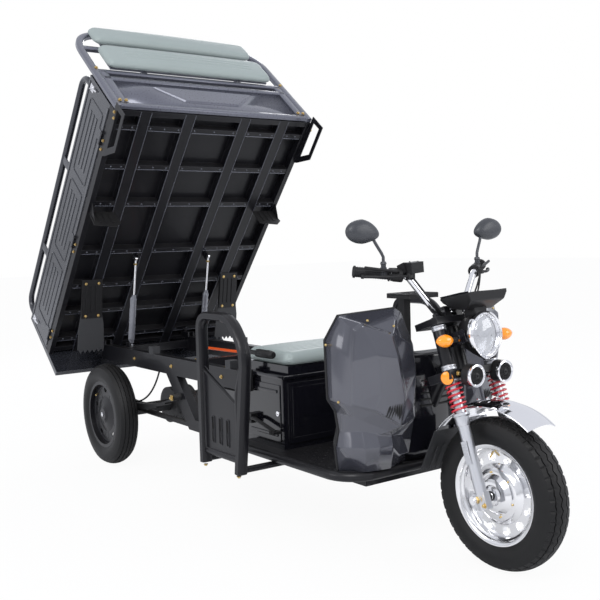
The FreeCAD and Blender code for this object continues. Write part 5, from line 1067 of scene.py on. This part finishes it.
# Rear wheels: hub caps, nuts, pressed ring and valve
for side, label in ((-1, "Right"), (1, "Left")):
    hubAt = at(0.388 * side, 0, vehicle["wheelRadius"])
    out = Vector((side, 0, 0))
    bright, dark, valve = bmesh.new(), bmesh.new(), bmesh.new()
    for k in range(5):
        angle = math.radians(72 * k + 18)
        spot = hubAt + out * 0.0165 + Vector((0, math.cos(angle), math.sin(angle))) * 0.050
        addBolt(bright, spot, out, 0.0075)
        angle = math.radians(72 * k + 54)
        spot = hubAt + out * 0.0165 + Vector((0, math.cos(angle), math.sin(angle))) * 0.104
        addRing(dark, spot, out, 0.0185, 0.0028, 28, 8)
    addLathe(dark, [(0.010, 0.034), (0.022, 0.033), (0.032, 0.028), (0.036, 0.022), (0.038, 0.008)], hubAt,
             out, 36)
    addRing(dark, hubAt + out * 0.0165, out, 0.072, 0.0022, 60, 8)
    addRing(dark, hubAt + out * 0.0165, out, 0.134, 0.0030, 72, 8)
    addLathe(dark, [(0.034, 0.1525), (0.0405, 0.158), (0.0418, 0.163), (0.0398, 0.1665), (0.0372, 0.163),
                    (0.034, 0.156)], hubAt, out, 72, closed=True)
    addLathe(bright, [(0.036, 0.012), (0.042, 0.012), (0.044, 0.009)], hubAt, out, 6)
    addRod(valve, hubAt + out * 0.018 + Vector((0, 0.10, 0.088)), hubAt + out * 0.030
           + Vector((0, 0.094, 0.083)), 0.004, 12)
    wheelBody = "rear_wheel_" + label.lower()
    made("rearNuts" + label, bright, "chromePlate", wheelBody, "chrome")
    made("rearHub" + label, dark, "frameBlack", wheelBody, "wheel_black")
    made("rearValve" + label, valve, "yellowZinc", wheelBody, "steel")

# Handlebar: ribbed grips, switch pods, levers, brake reservoir, cables
gripRibs, pods, cables = bmesh.new(), bmesh.new(), bmesh.new()
for side in (-1, 1):
    bend = onFork(0.158 * side, 0.010, 0.748)
    end = onFork(0.300 * side, 0.097, 0.798)
    way = (end - bend).normalized()
    ahead = Vector((0, -1, 0))
    for k in range(13):
        addRing(gripRibs, end - way * (0.008 + 0.0078 * k), way, 0.0172, 0.0011, 24, 6)
    addLathe(gripRibs, [(0, 0.014), (0.003, 0.0205), (0.009, 0.0205), (0.012, 0.014)], end - way * 0.004, way,
             28)
    addLathe(gripRibs, [(0, 0.0175), (0.002, 0.0225), (0.006, 0.0225), (0.009, 0.0175)], end - way * 0.118,
             way, 28)
    podFrame = axes(way)
    frameOf = Matrix((podFrame[0], ahead, podFrame[0].cross(ahead))).transposed().to_4x4()
    frameOf.translation = end - way * 0.142
    addLathe(pods, [(-0.018, 0.019), (-0.014, 0.0225), (0.014, 0.0225), (0.018, 0.019)], end - way * 0.142,
             way, 24)
    addBlock(pods, (-0.012, -0.022, 0.012), (0.012, 0.004, 0.029), frameOf)
    for k in range(3):
        addRod(pods, end - way * (0.134 + 0.008 * k) + Vector((0, 0.020, 0.004)),
               end - way * (0.134 + 0.008 * k) + Vector((0, 0.026, 0.005)), 0.003, 10)
    pivot = bend + way * 0.012 + ahead * 0.030
    addLathe(pods, [(-0.008, 0.011), (0.008, 0.011)], pivot, (0, 0.2, 1), 18)
    addTube(pods, [pivot, pivot + way * 0.03 + ahead * 0.018 - Vector((0, 0, 0.004)),
                   end - way * 0.08 + ahead * 0.048 - Vector((0, 0, 0.010)),
                   end - way * 0.03 + ahead * 0.044 - Vector((0, 0, 0.014)),
                   end - way * 0.004 + ahead * 0.036 - Vector((0, 0, 0.016))], 0.0048, 10)
    addLathe(pods, [(-0.006, 0.003), (-0.004, 0.0068), (0.004, 0.0068), (0.006, 0.003)],
             end - way * 0.002 + ahead * 0.036 - Vector((0, 0, 0.016)), way, 14)
    for k, (drop, reach) in enumerate(((0.05, 0.02), (0.075, 0.035))):
        start = pivot - way * 0.01 - Vector((0, 0, 0.004))
        finish = at((0.030 + 0.012 * k) * side, 1.985, 0.800)
        middle = (start + finish) / 2 + ahead * reach - Vector((0, 0, drop * 0.4))
        points = []
        for step in range(15):
            share = step / 14
            points.append(start.lerp(middle, share).lerp(middle.lerp(finish, share), share))
        addTube(cables, points, 0.003, 8)
bend = onFork(-0.158, 0.010, 0.748)
addBlock(pods, (-0.027, -0.020, 0.000), (0.027, 0.020, 0.036),
         Matrix.Translation(bend + Vector((0.010, -0.022, 0.010)))
         @ Matrix.Rotation(math.radians(-4), 4, "Y"))
for x in (-0.018, 0.018):
    addBolt(pods, bend + Vector((0.010 + x, -0.022, 0.0455)), (0, 0, 1), 0.003, washer=False)
addBlock(pods, (-0.010, -0.014, -0.012), (0.010, 0.016, 0.014),
         Matrix.Translation(bend + Vector((0, -0.014, 0.0))))
made("gripRibs", gripRibs, "satinPlastic", "steering", "rubber")
made("switchPods", pods, "satinPlastic", "steering", "frame_black", bevel=0.0015)
made("barCables", cables, "satinPlastic", "steering", "rubber", sharp=60)

# Mirrors: domed teardrop shells with their glass and bent stems
mirrorLook = [
    # depth ahead of the glass, share of the outline
    (-0.006, 0.93), (-0.004, 0.99), (0.002, 1.0), (0.010, 0.95), (0.017, 0.84), (0.022, 0.66), (0.025, 0.42),
    (0.0258, 0.15),
]


def mirrorOutline(steps=48):
    points = []
    for step in range(steps):
        angle = 2 * math.pi * step / steps
        x, z = math.cos(angle), math.sin(angle)
        taper = 1 - 0.22 * max(0, x)
        points.append((0.068 * x, 0.040 * z * taper - 0.010 * max(0, x) ** 2 + 0.003))
    return points


for side, label in ((-1, "Right"), (1, "Left")):
    head = Vector((0.297 * side, -1.012, 1.099))
    shell, glass = bmesh.new(), bmesh.new()
    rings = []
    for depth, share in mirrorLook:
        rings.append([shell.verts.new(head + Vector((-x * share * side, -depth, z * share)))
                      for x, z in mirrorOutline()])
    bridge(shell, rings)
    addLathe(shell, [(-0.012, 0.015), (-0.010, 0.0175), (0.010, 0.0175), (0.012, 0.015)],
             Vector((0.223 * side, -1.027, 0.961)), onFork(0.3 * side, 0.097, 0.798)
             - onFork(0.158 * side, 0.01, 0.748), 22)
    foot = Vector((0.223 * side, -1.029, 0.972))
    addLathe(shell,
             [(0, 0.011), (0.010, 0.011), (0.012, 0.0085), (0.020, 0.0085), (0.022, 0.011),
              (0.030, 0.0085)], foot, (0, 0, 1), 16)
    addTube(shell,
            [foot, foot + Vector((0, 0, 0.045)), foot + Vector((0.006 * side, 0.002, 0.058)), foot
             + Vector((0.024 * side, 0.008, 0.088)), head + Vector((-0.040 * side, -0.004, -0.018))],
            0.0052, 12)
    rings = []
    for depth, share in ((-0.0045, 0.92), (-0.0070, 0.90), (-0.0072, 0.4), (-0.0072, 0.05)):
        rings.append([glass.verts.new(head + Vector((-x * share * side, -depth, z * share)))
                      for x, z in mirrorOutline()])
    bridge(glass, rings)
    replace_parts(made("mirrorShell" + label, shell, "mirrorShell", "steering", "shield_grey"),
                "mirror_" + label.lower())
    made("mirrorGlass" + label, glass, "lampChrome", "steering", "chrome")
print("bars and mirrors made")


def addSweep(bm, points, flat, halfFlat, halfOther, corner=0.3):
    # a tube of flat section along a path; flat is the direction of its wide side
    flat = Vector(flat).normalized()
    points = [Vector(point) for point in points]
    outline = []
    for a, b in ((1, 1), (-1, 1), (-1, -1), (1, -1)):
        for p, q in ((1, 1 - corner), (1 - corner, 1)) if a * b > 0 else ((1 - corner, 1), (1, 1 - corner)):
            outline.append((a * halfFlat * p, b * halfOther * q))
    rings = []
    for number, point in enumerate(points):
        before = points[max(0, number - 1)]
        after = points[min(len(points) - 1, number + 1)]
        way = (after - before).normalized()
        other = way.cross(flat).normalized()
        first = (point - before).normalized() if number else way
        widen = 1 / max(0.5, abs(first.dot(way)))
        rings.append([bm.verts.new(point + flat * u + other * v * widen) for u, v in outline])
    bridge(bm, rings)


def rounded(corners, radius, steps=7):
    # rounds the inner corners of an open path
    corners = [Vector(corner) for corner in corners]
    path = [corners[0]]
    for before, point, after in zip(corners, corners[1:], corners[2:]):
        start = point + (before - point).normalized() * radius
        end = point + (after - point).normalized() * radius
        for step in range(steps + 1):
            share = step / steps
            path.append(start.lerp(point, share).lerp(point.lerp(end, share), share))
    return path + [corners[-1]]


# Headboard: flat tube frame, cross rails, pressed lower panel, cushion backs
board = {"half": 0.511, "front": 1.428, "deep": 0.0125, "top": 0.663, "corner": 0.19,
         "rails": (0.016, 0.237, 0.297, 0.510)}
middle = board["front"] - board["deep"]
bm = bmesh.new()
alongAxis = onBed(0, 1, 0) - onBed(0, 0, 0)
addSweep(bm, rounded([onBed(-board["half"], middle, 0.0), onBed(-board["half"], middle, board["top"]),
                      onBed(board["half"], middle, board["top"]), onBed(board["half"], middle, 0.0)],
                     board["corner"], 12), alongAxis, board["deep"], 0.0165)
for over in board["rails"]:
    addSweep(bm, [onBed(-board["half"], middle, over), onBed(board["half"], middle, over)], alongAxis,
             board["deep"] * 0.85, 0.0145)
for low, high, half in ((0.325, 0.475, 0.43), (0.545, 0.645, 0.40)):
    addBlock(bm, (-half, -board["front"] + 0.002, low + 0.03), (half, -board["front"] + 0.010, high + 0.03),
             bedFrame)
    for x in (-half * 0.6, half * 0.6):
        addSweep(bm, [onBed(x, middle, low - 0.04), onBed(x, middle, high + 0.03)], alongAxis, 0.009, 0.012)
for side in (-1, 1):
    addSweep(bm, [onBed(0.475 * side, middle, 0.016), onBed(0.475 * side, middle, 0.297)], alongAxis,
             board["deep"] * 0.85, 0.020)
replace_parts(made("headboardFrame", bm, "boardGrey", "bed", "body_grey", bevel=0.002), "headboard")


def pressedSheet(bm, low, high, shape, depth, chamfer, matrix):
    # sheet in the x-z plane of matrix with a raised plateau of the given outline
    outer = [(low[0], low[1]), (high[0], low[1]), (high[0], high[1]), (low[0], high[1])]
    count = len(shape)
    centreU = sum(u for u, v in shape) / count
    centreV = sum(v for u, v in shape) / count
    foot = [(u, v, 0) for u, v in shape]
    rim = []
    for u, v in shape:
        length = math.hypot(u - centreU, v - centreV)
        rim.append((u - (u - centreU) / length * chamfer, v - (v - centreV) / length * chamfer, depth))
    verts = [bm.verts.new(matrix @ Vector((u, -w, v))) for u, v, w in [(a, b, 0) for a, b in outer] + foot
             + rim]
    corners, foot, rim = verts[:4], verts[4:4 + count], verts[4 + count:]
    for k in range(count):
        following = (k + 1) % count
        bm.faces.new((foot[k], foot[following], rim[following], rim[k]))
    bm.faces.new(rim)
    nearest = []
    for u, v in shape:
        nearest.append(min(range(4), key=lambda n: math.hypot(outer[n][0] - u, outer[n][1] - v)))
    for k in range(count):
        following = (k + 1) % count
        if nearest[k] == nearest[following]:
            bm.faces.new((foot[k], corners[nearest[k]], foot[following]))
        else:
            bm.faces.new((foot[k], corners[nearest[k]], corners[nearest[following]], foot[following]))


bm = bmesh.new()
pressedSheet(bm, (-0.462, 0.026), (0.462, 0.226),
             [(-0.27, 0.195), (-0.15, 0.085), (0.15, 0.085), (0.27, 0.195)], 0.008, 0.012, bedFrame
             @ Matrix.Translation((0, -board["front"] + 0.012, vehicle["hingeDrop"])))
sheet = made("headboardPanel", bm, "boardGrey", "bed", "body_grey", sharp=25, bevel=0.002)
addWall(sheet, 0.003)
bm = bmesh.new()
outward = onBed(0, 1, 0) - onBed(0, 0, 0)
under = onBed(0, 0, -1) - onBed(0, 0, 0)
for side in (-1, 1):
    for x, over in ((0.492, 0.040), (0.462, 0.040), (0.505, 0.31)):
        addBolt(bm, onBed(x * side, board["front"] + 0.001, over), outward, 0.006)
    for v, w in ((1.398, -0.012), (1.372, -0.020), (1.23, 0.020), (1.185, 0.020), (0.64, 0.020),
                 (0.595, 0.020), (0.02, 0.020), (0.065, 0.020)):
        addBolt(bm, onBed(0.529 * side, v, w), (side, 0, 0), 0.005)
made("bedBolts", bm, "yellowZinc", "bed", "steel")
# rivets under the bed floor, and lighter strips along the rib and beam edges that are painted highlights
bm = bmesh.new()
for v in (1.317, 1.108, 0.897, 0.605, 0.387, 0.208, 0.020):
    for x in (-0.47, -0.42, -0.33, -0.26, -0.19, -0.105, 0.0, 0.105, 0.19, 0.26, 0.33, 0.42, 0.47):
        addLathe(bm, [(-0.001, 0.0048), (0.0012, 0.0042), (0.0024, 0.0020)], onBed(x, v, 0.0), under, 10)
    # lighter strips along the cross ribs: painted highlights
    for low, high in ((-0.495, -0.402), (-0.340, -0.178), (-0.118, 0.118), (0.178, 0.340), (0.402, 0.495)):
        addSweep(bm, [onBed(low, v - 0.012, 0.0005), onBed(high, v - 0.012, 0.0005)], outward, 0.0022, 0.0022)
# lighter strips along the beam edges: painted highlights
for x in (-0.371, -0.148, 0.148, 0.371):
    for edge in (-0.026, 0.026):
        addSweep(bm, [onBed(x + edge, -0.09, 0.0005), onBed(x + edge, 1.40, 0.0005)], (1, 0, 0), 0.0016,
                 0.0018)
made("bedRivetsAndEdgeHighlights", bm, "bodyGrey", "bed", "frame_black", sharp=60)

# Mud flaps and brackets under the bed
metal, rubber, zinc = bmesh.new(), bmesh.new(), bmesh.new()
for side in (-1, 1):
    top = onBed(0.400 * side, 0.425, 0.0)
    low = onBed(0.400 * side, 0.096, -0.190)
    way = (low - top).normalized()
    length = (low - top).length
    cross = Vector((1, 0, 0))
    normal = cross.cross(way)
    if normal.y > 0:
        normal = -normal
    sheetFrame = Matrix((cross, way, normal)).transposed().to_4x4()
    sheetFrame.translation = top
    addPrism(metal, [(-0.052, 0.0), (0.052, 0.0), (0.056, length * 0.52), (-0.056, length * 0.52)], 0.003,
             sheetFrame)
    for x in (-0.026, 0.0, 0.026):
        addPrism(metal,
                 [(x - 0.007, 0.03), (x + 0.007, 0.03), (x + 0.007, length * 0.44),
                  (x - 0.007, length * 0.44)], 0.0065, sheetFrame)
    for x in (-0.054, 0.0505):
        addBlock(metal, (x, 0.0, -0.012), (x + 0.0035, length * 0.5, 0.003), sheetFrame)
    teeth = [(-0.056, length * 0.47), (0.056, length * 0.47), (0.066, length * 0.62), (0.071, length * 0.93)]
    for k in range(6):
        teeth += [(0.066 - 0.024 * k, length * 1.0), (0.056 - 0.024 * k, length * 0.955)]
    teeth += [(-0.071, length * 0.95), (-0.066, length * 0.62)]
    addPrism(rubber, teeth, -0.0045, sheetFrame)
    for x in (-0.034, 0.034):
        addBolt(zinc, sheetFrame @ Vector((x, length * 0.49, 0.003)), normal, 0.005)
        addBolt(zinc, sheetFrame @ Vector((x, 0.02, 0.003)), normal, 0.005)
    plate = Matrix.Translation((0, 0, vehicle["hingeDrop"]))
    shelf = bedFrame @ plate @ Matrix.Translation((0.455 * side, -0.849, 0))
    addPrism(metal, [(-0.062, 0.0), (0.062, 0.0), (0.070, -0.085), (0.035, -0.115), (-0.070, -0.100)], 0.003,
             shelf @ Matrix.Rotation(math.radians(90), 4, "X"))
    for x in (-0.03, 0.0, 0.03):
        addBlock(metal, (x - 0.006, -0.006, -0.085), (x + 0.006, 0.003, -0.012), shelf)
    addPrism(metal, [(0.0, 0.0), (-0.055, 0.0), (0.0, -0.075)], 0.003, shelf
             @ Matrix.Translation((0.060 * side, -0.003, 0))
             @ Matrix(((0, 0, 1, 0), (1, 0, 0, 0), (0, 1, 0, 0), (0, 0, 0, 1))))
    for x in (-0.025, 0.025):
        addBolt(zinc, shelf @ Vector((x, 0.004, -0.014)), onBed(0, -1, 0) - onBed(0, 0, 0), 0.005)
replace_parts(made("flapPlates", metal, "satinPlastic", "bed", "frame_black", bevel=0.0008), "bed_mud_flaps")
made("flapRubbers", rubber, "flapRubber", "bed", "rubber", bevel=0.0008)
made("flapBolts", zinc, "yellowZinc", "bed", "steel")

# Side gates: pressed panels, hems, latch and reinforcing lines
gate = {"face": 0.5282, "low": 0.05, "high": 0.285, "panels": ((0.03, 0.42), (0.47, 0.88), (0.93, 1.32))}
for side, label in ((-1, "right"), (1, "left")):
    bm, bright = bmesh.new(), bmesh.new()
    out = Vector((side, 0, 0))
    for start, end in gate["panels"]:
        loop = rounded([onBed(gate["face"] * side, start, (gate["low"] + gate["high"]) / 2),
                        onBed(gate["face"] * side, start, gate["high"] - 0.045),
                        onBed(gate["face"] * side, end, gate["high"] - 0.045),
                        onBed(gate["face"] * side, end, gate["low"] + 0.035),
                        onBed(gate["face"] * side, start, gate["low"] + 0.035),
                        onBed(gate["face"] * side, start, (gate["low"] + gate["high"]) / 2)], 0.018, 5)
        addTube(bm, loop, 0.0032, 8)
        for share in (0.35, 0.5, 0.65):
            over = gate["low"] + (gate["high"] - gate["low"]) * share
            addSweep(bm,
                     [onBed(gate["face"] * side, start + 0.05, over),
                      onBed(gate["face"] * side, end - 0.05, over)], onBed(0, 0, 1) - onBed(0, 0, 0), 0.007,
                     0.0022)
    for over in (gate["low"], gate["high"]):
        addSweep(bm, [onBed(gate["face"] * side, -0.06, over), onBed(gate["face"] * side, 1.375, over)],
                 onBed(0, 0, 1) - onBed(0, 0, 0), 0.006, 0.003)
    for v in (0.89, 0.35):
        addSweep(bm, [onBed(0.522 * side, v, 0.285), onBed(0.522 * side, v, 0.372)], outward, 0.020, 0.004)
    for v in (1.362, -0.052):
        addBlock(bright, (0.5285 * side - 0.006, -v - 0.016, 0.030 + 0.225),
                 (0.5285 * side + 0.006, -v + 0.016, 0.030 + 0.262), bedFrame)
        addTube(bright, [onBed(0.535 * side, v - 0.012, 0.258), onBed(0.538 * side, v + 0.004, 0.232),
                         onBed(0.535 * side, v + 0.010, 0.190)], 0.0045, 8)
        addRing(bright, onBed(0.534 * side, v, 0.240), (side, 0, 0), 0.010, 0.002, 20, 6)
    made("gatePressings_" + label, bm, "gateGrey", "side_gate_" + label, "body_grey", sharp=60)
    made("gateLatches_" + label, bright, "chromePlate", "side_gate_" + label, "steel", bevel=0.0008)

# Gas struts: crinkled protective film round the cylinders, eye nuts
for side, label in ((-1, "right"), (1, "left")):
    low = at(0.210 * side, -0.100, 0.565)
    high = onBed(0.210 * side, 0.570, -0.020)
    way, across, other = axes(high - low)
    bm = bmesh.new()
    rings = []
    noise = random.Random(20 + side)
    wobble = [noise.uniform(0.85, 1.18) for k in range(14)]
    for step in range(46):
        share = step / 45
        spread = 0.0158 if 0.04 < share < 0.97 else 0.0128
        ring = []
        for k in range(14):
            angle = 2 * math.pi * k / 14
            around = across * math.cos(angle) + other * math.sin(angle)
            crinkle = wobble[k] + noise.uniform(-0.07, 0.07)
            ring.append(bm.verts.new(low + way * (0.022 + 0.236 * share) + around * spread * crinkle))
        rings.append(ring)
    bridge(bm, rings)
    made("strutFilm_" + label, bm, "crinkledFilm", "strut_cylinder_" + label, "strut_wrap", sharp=50)
    bm = bmesh.new()
    addLathe(bm, [(0.024, 0.0095), (0.030, 0.0095), (0.031, 0.007), (0.033, 0.007)], high, -way, 6)
    made("strutNuts_" + label, bm, "yellowZinc", "strut_rod_" + label, "steel")
print("bed details made")

# Hip guards: flat tubes over the hoops, panels with a turned edge, slot outlines filled with painted shade
guard = {"x": 0.500, "wide": 0.021, "deep": 0.0152, "foot": 0.243, "top": 0.808, "rear": 1.154,
         "topFront": 1.370, "bendFront": 1.462, "bendHeight": 0.690, "front": 1.404}
for side, label in ((-1, "Right"), (1, "Left")):
    bm = bmesh.new()
    hoop = rounded([at(guard["x"] * side, guard["rear"], guard["foot"]),
                    at(guard["x"] * side, guard["rear"], guard["top"]),
                    at(guard["x"] * side, guard["topFront"], guard["top"]),
                    at(guard["x"] * side, guard["bendFront"], guard["bendHeight"]),
                    at(guard["x"] * side, guard["front"], guard["foot"])], 0.060, 9)
    addSweep(bm, hoop, (1, 0, 0), guard["wide"], guard["deep"], corner=0.35)
    panelX = 0.5045 * side
    corners = [at(panelX, 1.168, 0.600), at(panelX, 1.425, 0.482), at(panelX, 1.392, 0.300),
               at(panelX, 1.168, 0.300), at(panelX, 1.168, 0.600)]
    addTube(bm, corners, 0.0055, 8)
    sheetFrame = sidePlane(side, 0.5005)
    addPrism(bm, [(1.168, 0.302), (1.395, 0.302), (1.424, 0.480), (1.168, 0.598)], 0.003, sheetFrame)
    for k in range(3):
        start = 1.215 + 0.052 * k
        ring = rounded([at(panelX, start + 0.009, 0.38), at(panelX, start + 0.020, 0.33),
                        at(panelX, start, 0.33), at(panelX, start, 0.43), at(panelX, start + 0.020, 0.43),
                        at(panelX, start + 0.020, 0.35)], 0.006, 4)
        addTube(bm, ring, 0.0025, 6)
    made("hipGuardTube" + label, bm, "frameBlack", "chassis", "frame_black", sharp=50)
    # black sheets in the slot outlines: painted shade standing in for the dark inside the slots
    bm = bmesh.new()
    for k in range(3):
        start = 1.217 + 0.052 * k
        addBlock(bm, (0.5034 * side - 0.0006, vehicle["axleY"] - start - 0.016, 0.332),
                 (0.5034 * side + 0.0006, vehicle["axleY"] - start, 0.428))
    made("hipGuardSlotShade" + label, bm, "shadowBlack", "chassis", "frame_black")

# Seat box: door, hinge side, lock, drip edge; levers beside the seat
bm, trim = bmesh.new(), bmesh.new()
for side in (-1, 1):
    addPrism(bm, [(1.168, 0.325), (1.385, 0.325), (1.385, 0.540), (1.168, 0.540)], 0.0035,
             sidePlane(side, 0.3042))
    for z in (0.350, 0.515):
        addSweep(bm, [at(0.3095 * side, 1.185, z), at(0.3095 * side, 1.368, z)], (0, 0, 1), 0.006, 0.0022)
    addRod(trim, at(0.307 * side, 1.372, 0.432), at(0.3115 * side, 1.372, 0.432), 0.010, 20)
    addLathe(trim, [(0, 0.0035), (0.002, 0.0035), (0.003, 0.002)], at(0.3115 * side, 1.372, 0.432),
             (side, 0, 0), 10)
doorFrame = Matrix(((1, 0, 0, 0), (0, 0, -1, vehicle["axleY"] - 1.4045), (0, 1, 0, 0), (0, 0, 0, 1)))
for low, high in ((-0.285, -0.010), (0.010, 0.285)):
    addPrism(bm, [(low, 0.320), (high, 0.320), (high, 0.548), (low, 0.548)], 0.0035, doorFrame)
    addTube(bm, [at(low + 0.02, 1.4085, 0.34), at(high - 0.02, 1.4085, 0.34), at(high - 0.02, 1.4085, 0.53),
                 at(low + 0.02, 1.4085, 0.53), at(low + 0.02, 1.4085, 0.34)], 0.0022, 6)
for x in (-0.03, 0.03):
    addRod(trim, at(x, 1.4045, 0.44), at(x, 1.4125, 0.44), 0.009, 18)
addSweep(bm, [at(-0.306, 1.409, 0.571), at(0.306, 1.409, 0.571)], (0, 0, 1), 0.007, 0.004)
for side in (-1, 1):
    addSweep(bm, [at(0.309 * side, 1.150, 0.571), at(0.309 * side, 1.410, 0.571)], (0, 0, 1), 0.007, 0.004)
made("seatBoxDoors", bm, "glossBlack", "chassis", "frame_black", bevel=0.001)
made("seatBoxLocks", trim, "chromePlate", "chassis", "steel", bevel=0.0005)
bm = bmesh.new()
addTube(bm, rounded([at(-0.326, 1.186, 0.560), at(-0.326, 1.196, 0.655), at(-0.326, 1.375, 0.656)], 0.035, 7),
        0.009, 12)
addLathe(bm, [(0, 0.0125), (0.004, 0.0155), (0.105, 0.0145), (0.112, 0.0105)], at(-0.326, 1.268, 0.6555),
         (0, -1, 0.005), 24)
for k in range(9):
    addRing(bm, at(-0.326, 1.278 + 0.010 * k, 0.6558), (0, 1, 0), 0.0152, 0.0012, 20, 6)
addBlock(bm, (-0.331, vehicle["axleY"] - 1.215, 0.500), (-0.3135, vehicle["axleY"] - 1.160, 0.585))
addTube(bm, rounded([at(-0.330, 1.209, 0.395), at(-0.334, 1.250, 0.400), at(-0.334, 1.387, 0.369)], 0.02, 5),
        0.0075, 12)
addBlock(bm, (-0.352, vehicle["axleY"] - 1.402, 0.362), (-0.314, vehicle["axleY"] - 1.372, 0.372))
addBlock(bm, (-0.336, vehicle["axleY"] - 1.228, 0.378), (-0.3045, vehicle["axleY"] - 1.196, 0.415))
addBolt(bm, at(-0.336, 1.209, 0.395), (-1, 0, 0), 0.006)
made("sideLevers", bm, "satinPlastic", "chassis", "rubber", bevel=0.001)

# Footboard: raised lozenges; front mud flap ribs
bm = bmesh.new()
for row in range(13):
    for column in range(23):
        x = -0.33 + 0.030 * column
        forward = 1.430 + 0.028 * row
        if abs(x) < 0.055 and forward > 1.73 or abs(x) > 0.30 and forward > 1.74:
            continue
        turn = math.radians(45 if (row + column) % 2 else -45)
        along = Vector((math.cos(turn), math.sin(turn), 0))
        wide = Vector((-along.y, along.x, 0)) * 0.0028
        spot = at(x, forward, 0.2982)
        verts = [bm.verts.new(spot + along * 0.0095), bm.verts.new(spot + wide),
                 bm.verts.new(spot - along * 0.0095),
                 bm.verts.new(spot - wide), bm.verts.new(spot + Vector((0, 0, 0.0016)))]
        for k in range(4):
            bm.faces.new((verts[k], verts[(k + 1) % 4], verts[4]))
made("footboardTread", bm, "frameBlack", "chassis", "frame_black", sharp=80)
bm = bmesh.new()
flapTop, flapLow = at(0, 1.965, 0.397), at(0, 1.894, 0.252)
down = (flapLow - flapTop).normalized()
outward = Vector((1, 0, 0)).cross(down)
if outward.y > 0:
    outward = -outward
for x in (-0.05, -0.025, 0.0, 0.025, 0.05):
    addSweep(bm, [flapTop + Vector((x, 0, 0)) + down * 0.03 + outward * 0.003,
                  flapTop + Vector((x, 0, 0)) + down * 0.135 + outward * 0.003], (1, 0, 0), 0.004, 0.0016)
made("frontFlapRibs", bm, "flapRubber", "steering", "rubber", sharp=60)

# Springs and axle: U-bolts, shackle plates, clips; brake hoses; frame bolts
zinc, dark, hoses = bmesh.new(), bmesh.new(), bmesh.new()
for side in (-1, 1):
    for forward in (-0.022, 0.022):
        points = [at(vehicle["springX"] * side - 0.023, forward, 0.218)]
        for step in range(9):
            angle = math.pi * step / 8
            points.append(at(vehicle["springX"] * side - 0.023 * math.cos(angle), forward, 0.318
                             + 0.010 * math.sin(angle)))
        points.append(at(vehicle["springX"] * side + 0.023, forward, 0.218))
        addTube(zinc, points, 0.0045, 8)
        for x in (-0.023, 0.023):
            addLathe(zinc, [(0, 0.008), (0.007, 0.008)], at(vehicle["springX"] * side + x, forward, 0.217), (0, 0, -1), 6)
    addBlock(dark, (vehicle["springX"] * side - 0.032, vehicle["axleY"] - 0.036, 0.2125),
             (vehicle["springX"] * side + 0.032, vehicle["axleY"] + 0.036, 0.2185))
    for forward, tall in ((-0.285, 0.045), (0.528, 0.012)):
        for x in (-0.024, 0.024):
            addPrism(zinc, [(-0.012, -0.012), (0.012, -0.012), (0.012, tall), (-0.012, tall)], 0.004,
                     Matrix.Translation(at(vehicle["springX"] * side + x - 0.002, forward, 0.384))
                     @ Matrix(((0, 0, 1, 0), (1, 0, 0, 0), (0, 1, 0, 0), (0, 0, 0, 1))))
            addBolt(zinc, at(vehicle["springX"] * side + x * 1.1, forward, 0.384), (x, 0, 0), 0.007)
    start = at(0.272 * side, 0.330, 0.480)
    finish = at(0.305 * side, 0.03, 0.310)
    middle = at(0.315 * side, 0.30, 0.300)
    points = [start.lerp(middle, k / 16).lerp(middle.lerp(finish, k / 16), k / 16) for k in range(17)]
    addTube(hoses, points, 0.0042, 8)
    for forward in (0.06, 0.45, 0.9, 1.05):
        addBolt(zinc, at(0.2705 * side, forward, 0.516), (side, 0, 0), 0.006)
    for forward in (1.150, 1.390):
        addBolt(zinc, at(0.500 * side, forward, 0.232), (0, 0, -1), 0.006)
points = rounded([at(0.05, 1.10, 0.500), at(0.10, 0.86, 0.505), at(0.06, 0.60, 0.470), at(0.02, 0.25, 0.330)],
                 0.08, 8)
addTube(hoses, points, 0.006, 8)
made("springBolts", zinc, "yellowZinc", "chassis", "steel", bevel=0.0004)
made("springPlates", dark, "frameBlack", "chassis", "frame_black", bevel=0.001)
made("brakeHoses", hoses, "satinPlastic", "chassis", "rubber", sharp=60)

# Battery lid, motor fins, tray lip
bm = bmesh.new()
low, high = (Vector(corner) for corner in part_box("battery_case"))
for k in range(5):
    y = low.y + (high.y - low.y) * (0.15 + 0.175 * k)
    addSweep(bm, [Vector((low.x + 0.03, y, high.z + 0.001)), Vector((high.x - 0.03, y, high.z + 0.001))],
             (0, 1, 0), 0.012, 0.003)
addTube(bm,
        [Vector((low.x + 0.012, low.y + 0.012, high.z)), Vector((high.x - 0.012, low.y + 0.012, high.z)),
         Vector((high.x - 0.012, high.y - 0.012, high.z)), Vector((low.x + 0.012, high.y - 0.012, high.z)),
         Vector((low.x + 0.012, low.y + 0.012, high.z))], 0.004, 8)
made("batteryLid", bm, "satinPlastic", "chassis", "frame_black", sharp=60)
bm = bmesh.new()
low, high = (Vector(corner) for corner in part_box("drive_motor"))
middle = (low + high) / 2
radius = (high.z - low.z) / 2
for k in range(9):
    x = low.x + (high.x - low.x) * (0.12 + 0.095 * k)
    addRing(bm, Vector((x, middle.y, middle.z)), (1, 0, 0), radius, 0.004, 48, 6)
for side in (-1, 1):
    addLathe(bm,
             [(0, radius * 0.8), (0.006, radius * 0.76), (0.008, radius * 0.4), (0.014, radius * 0.36),
              (0.016, radius * 0.1)], Vector((high.x if side > 0 else low.x, middle.y, middle.z)),
             (side, 0, 0), 40)
made("motorFins", bm, "castBlack", "chassis", "frame_black")
bm = bmesh.new()
low, high = (Vector(corner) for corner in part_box("dash_console"))
front = vehicle["axleY"] - 1.846
addTube(bm, [Vector((-0.068, front + 0.003, high.z)), Vector((0.068, front + 0.003, high.z)),
             Vector((0.068, front + 0.113, high.z)), Vector((-0.068, front + 0.113, high.z)),
             Vector((-0.068, front + 0.003, high.z))], 0.004, 8)
for x in (-0.032, 0.032):
    addRing(bm, Vector((x, front + 0.058, high.z + 0.0005)), (0, 0, 1), 0.022, 0.0025, 32, 6)
made("trayLip", bm, "satinPlastic", "chassis", "frame_black", sharp=60)
print("chassis details made")
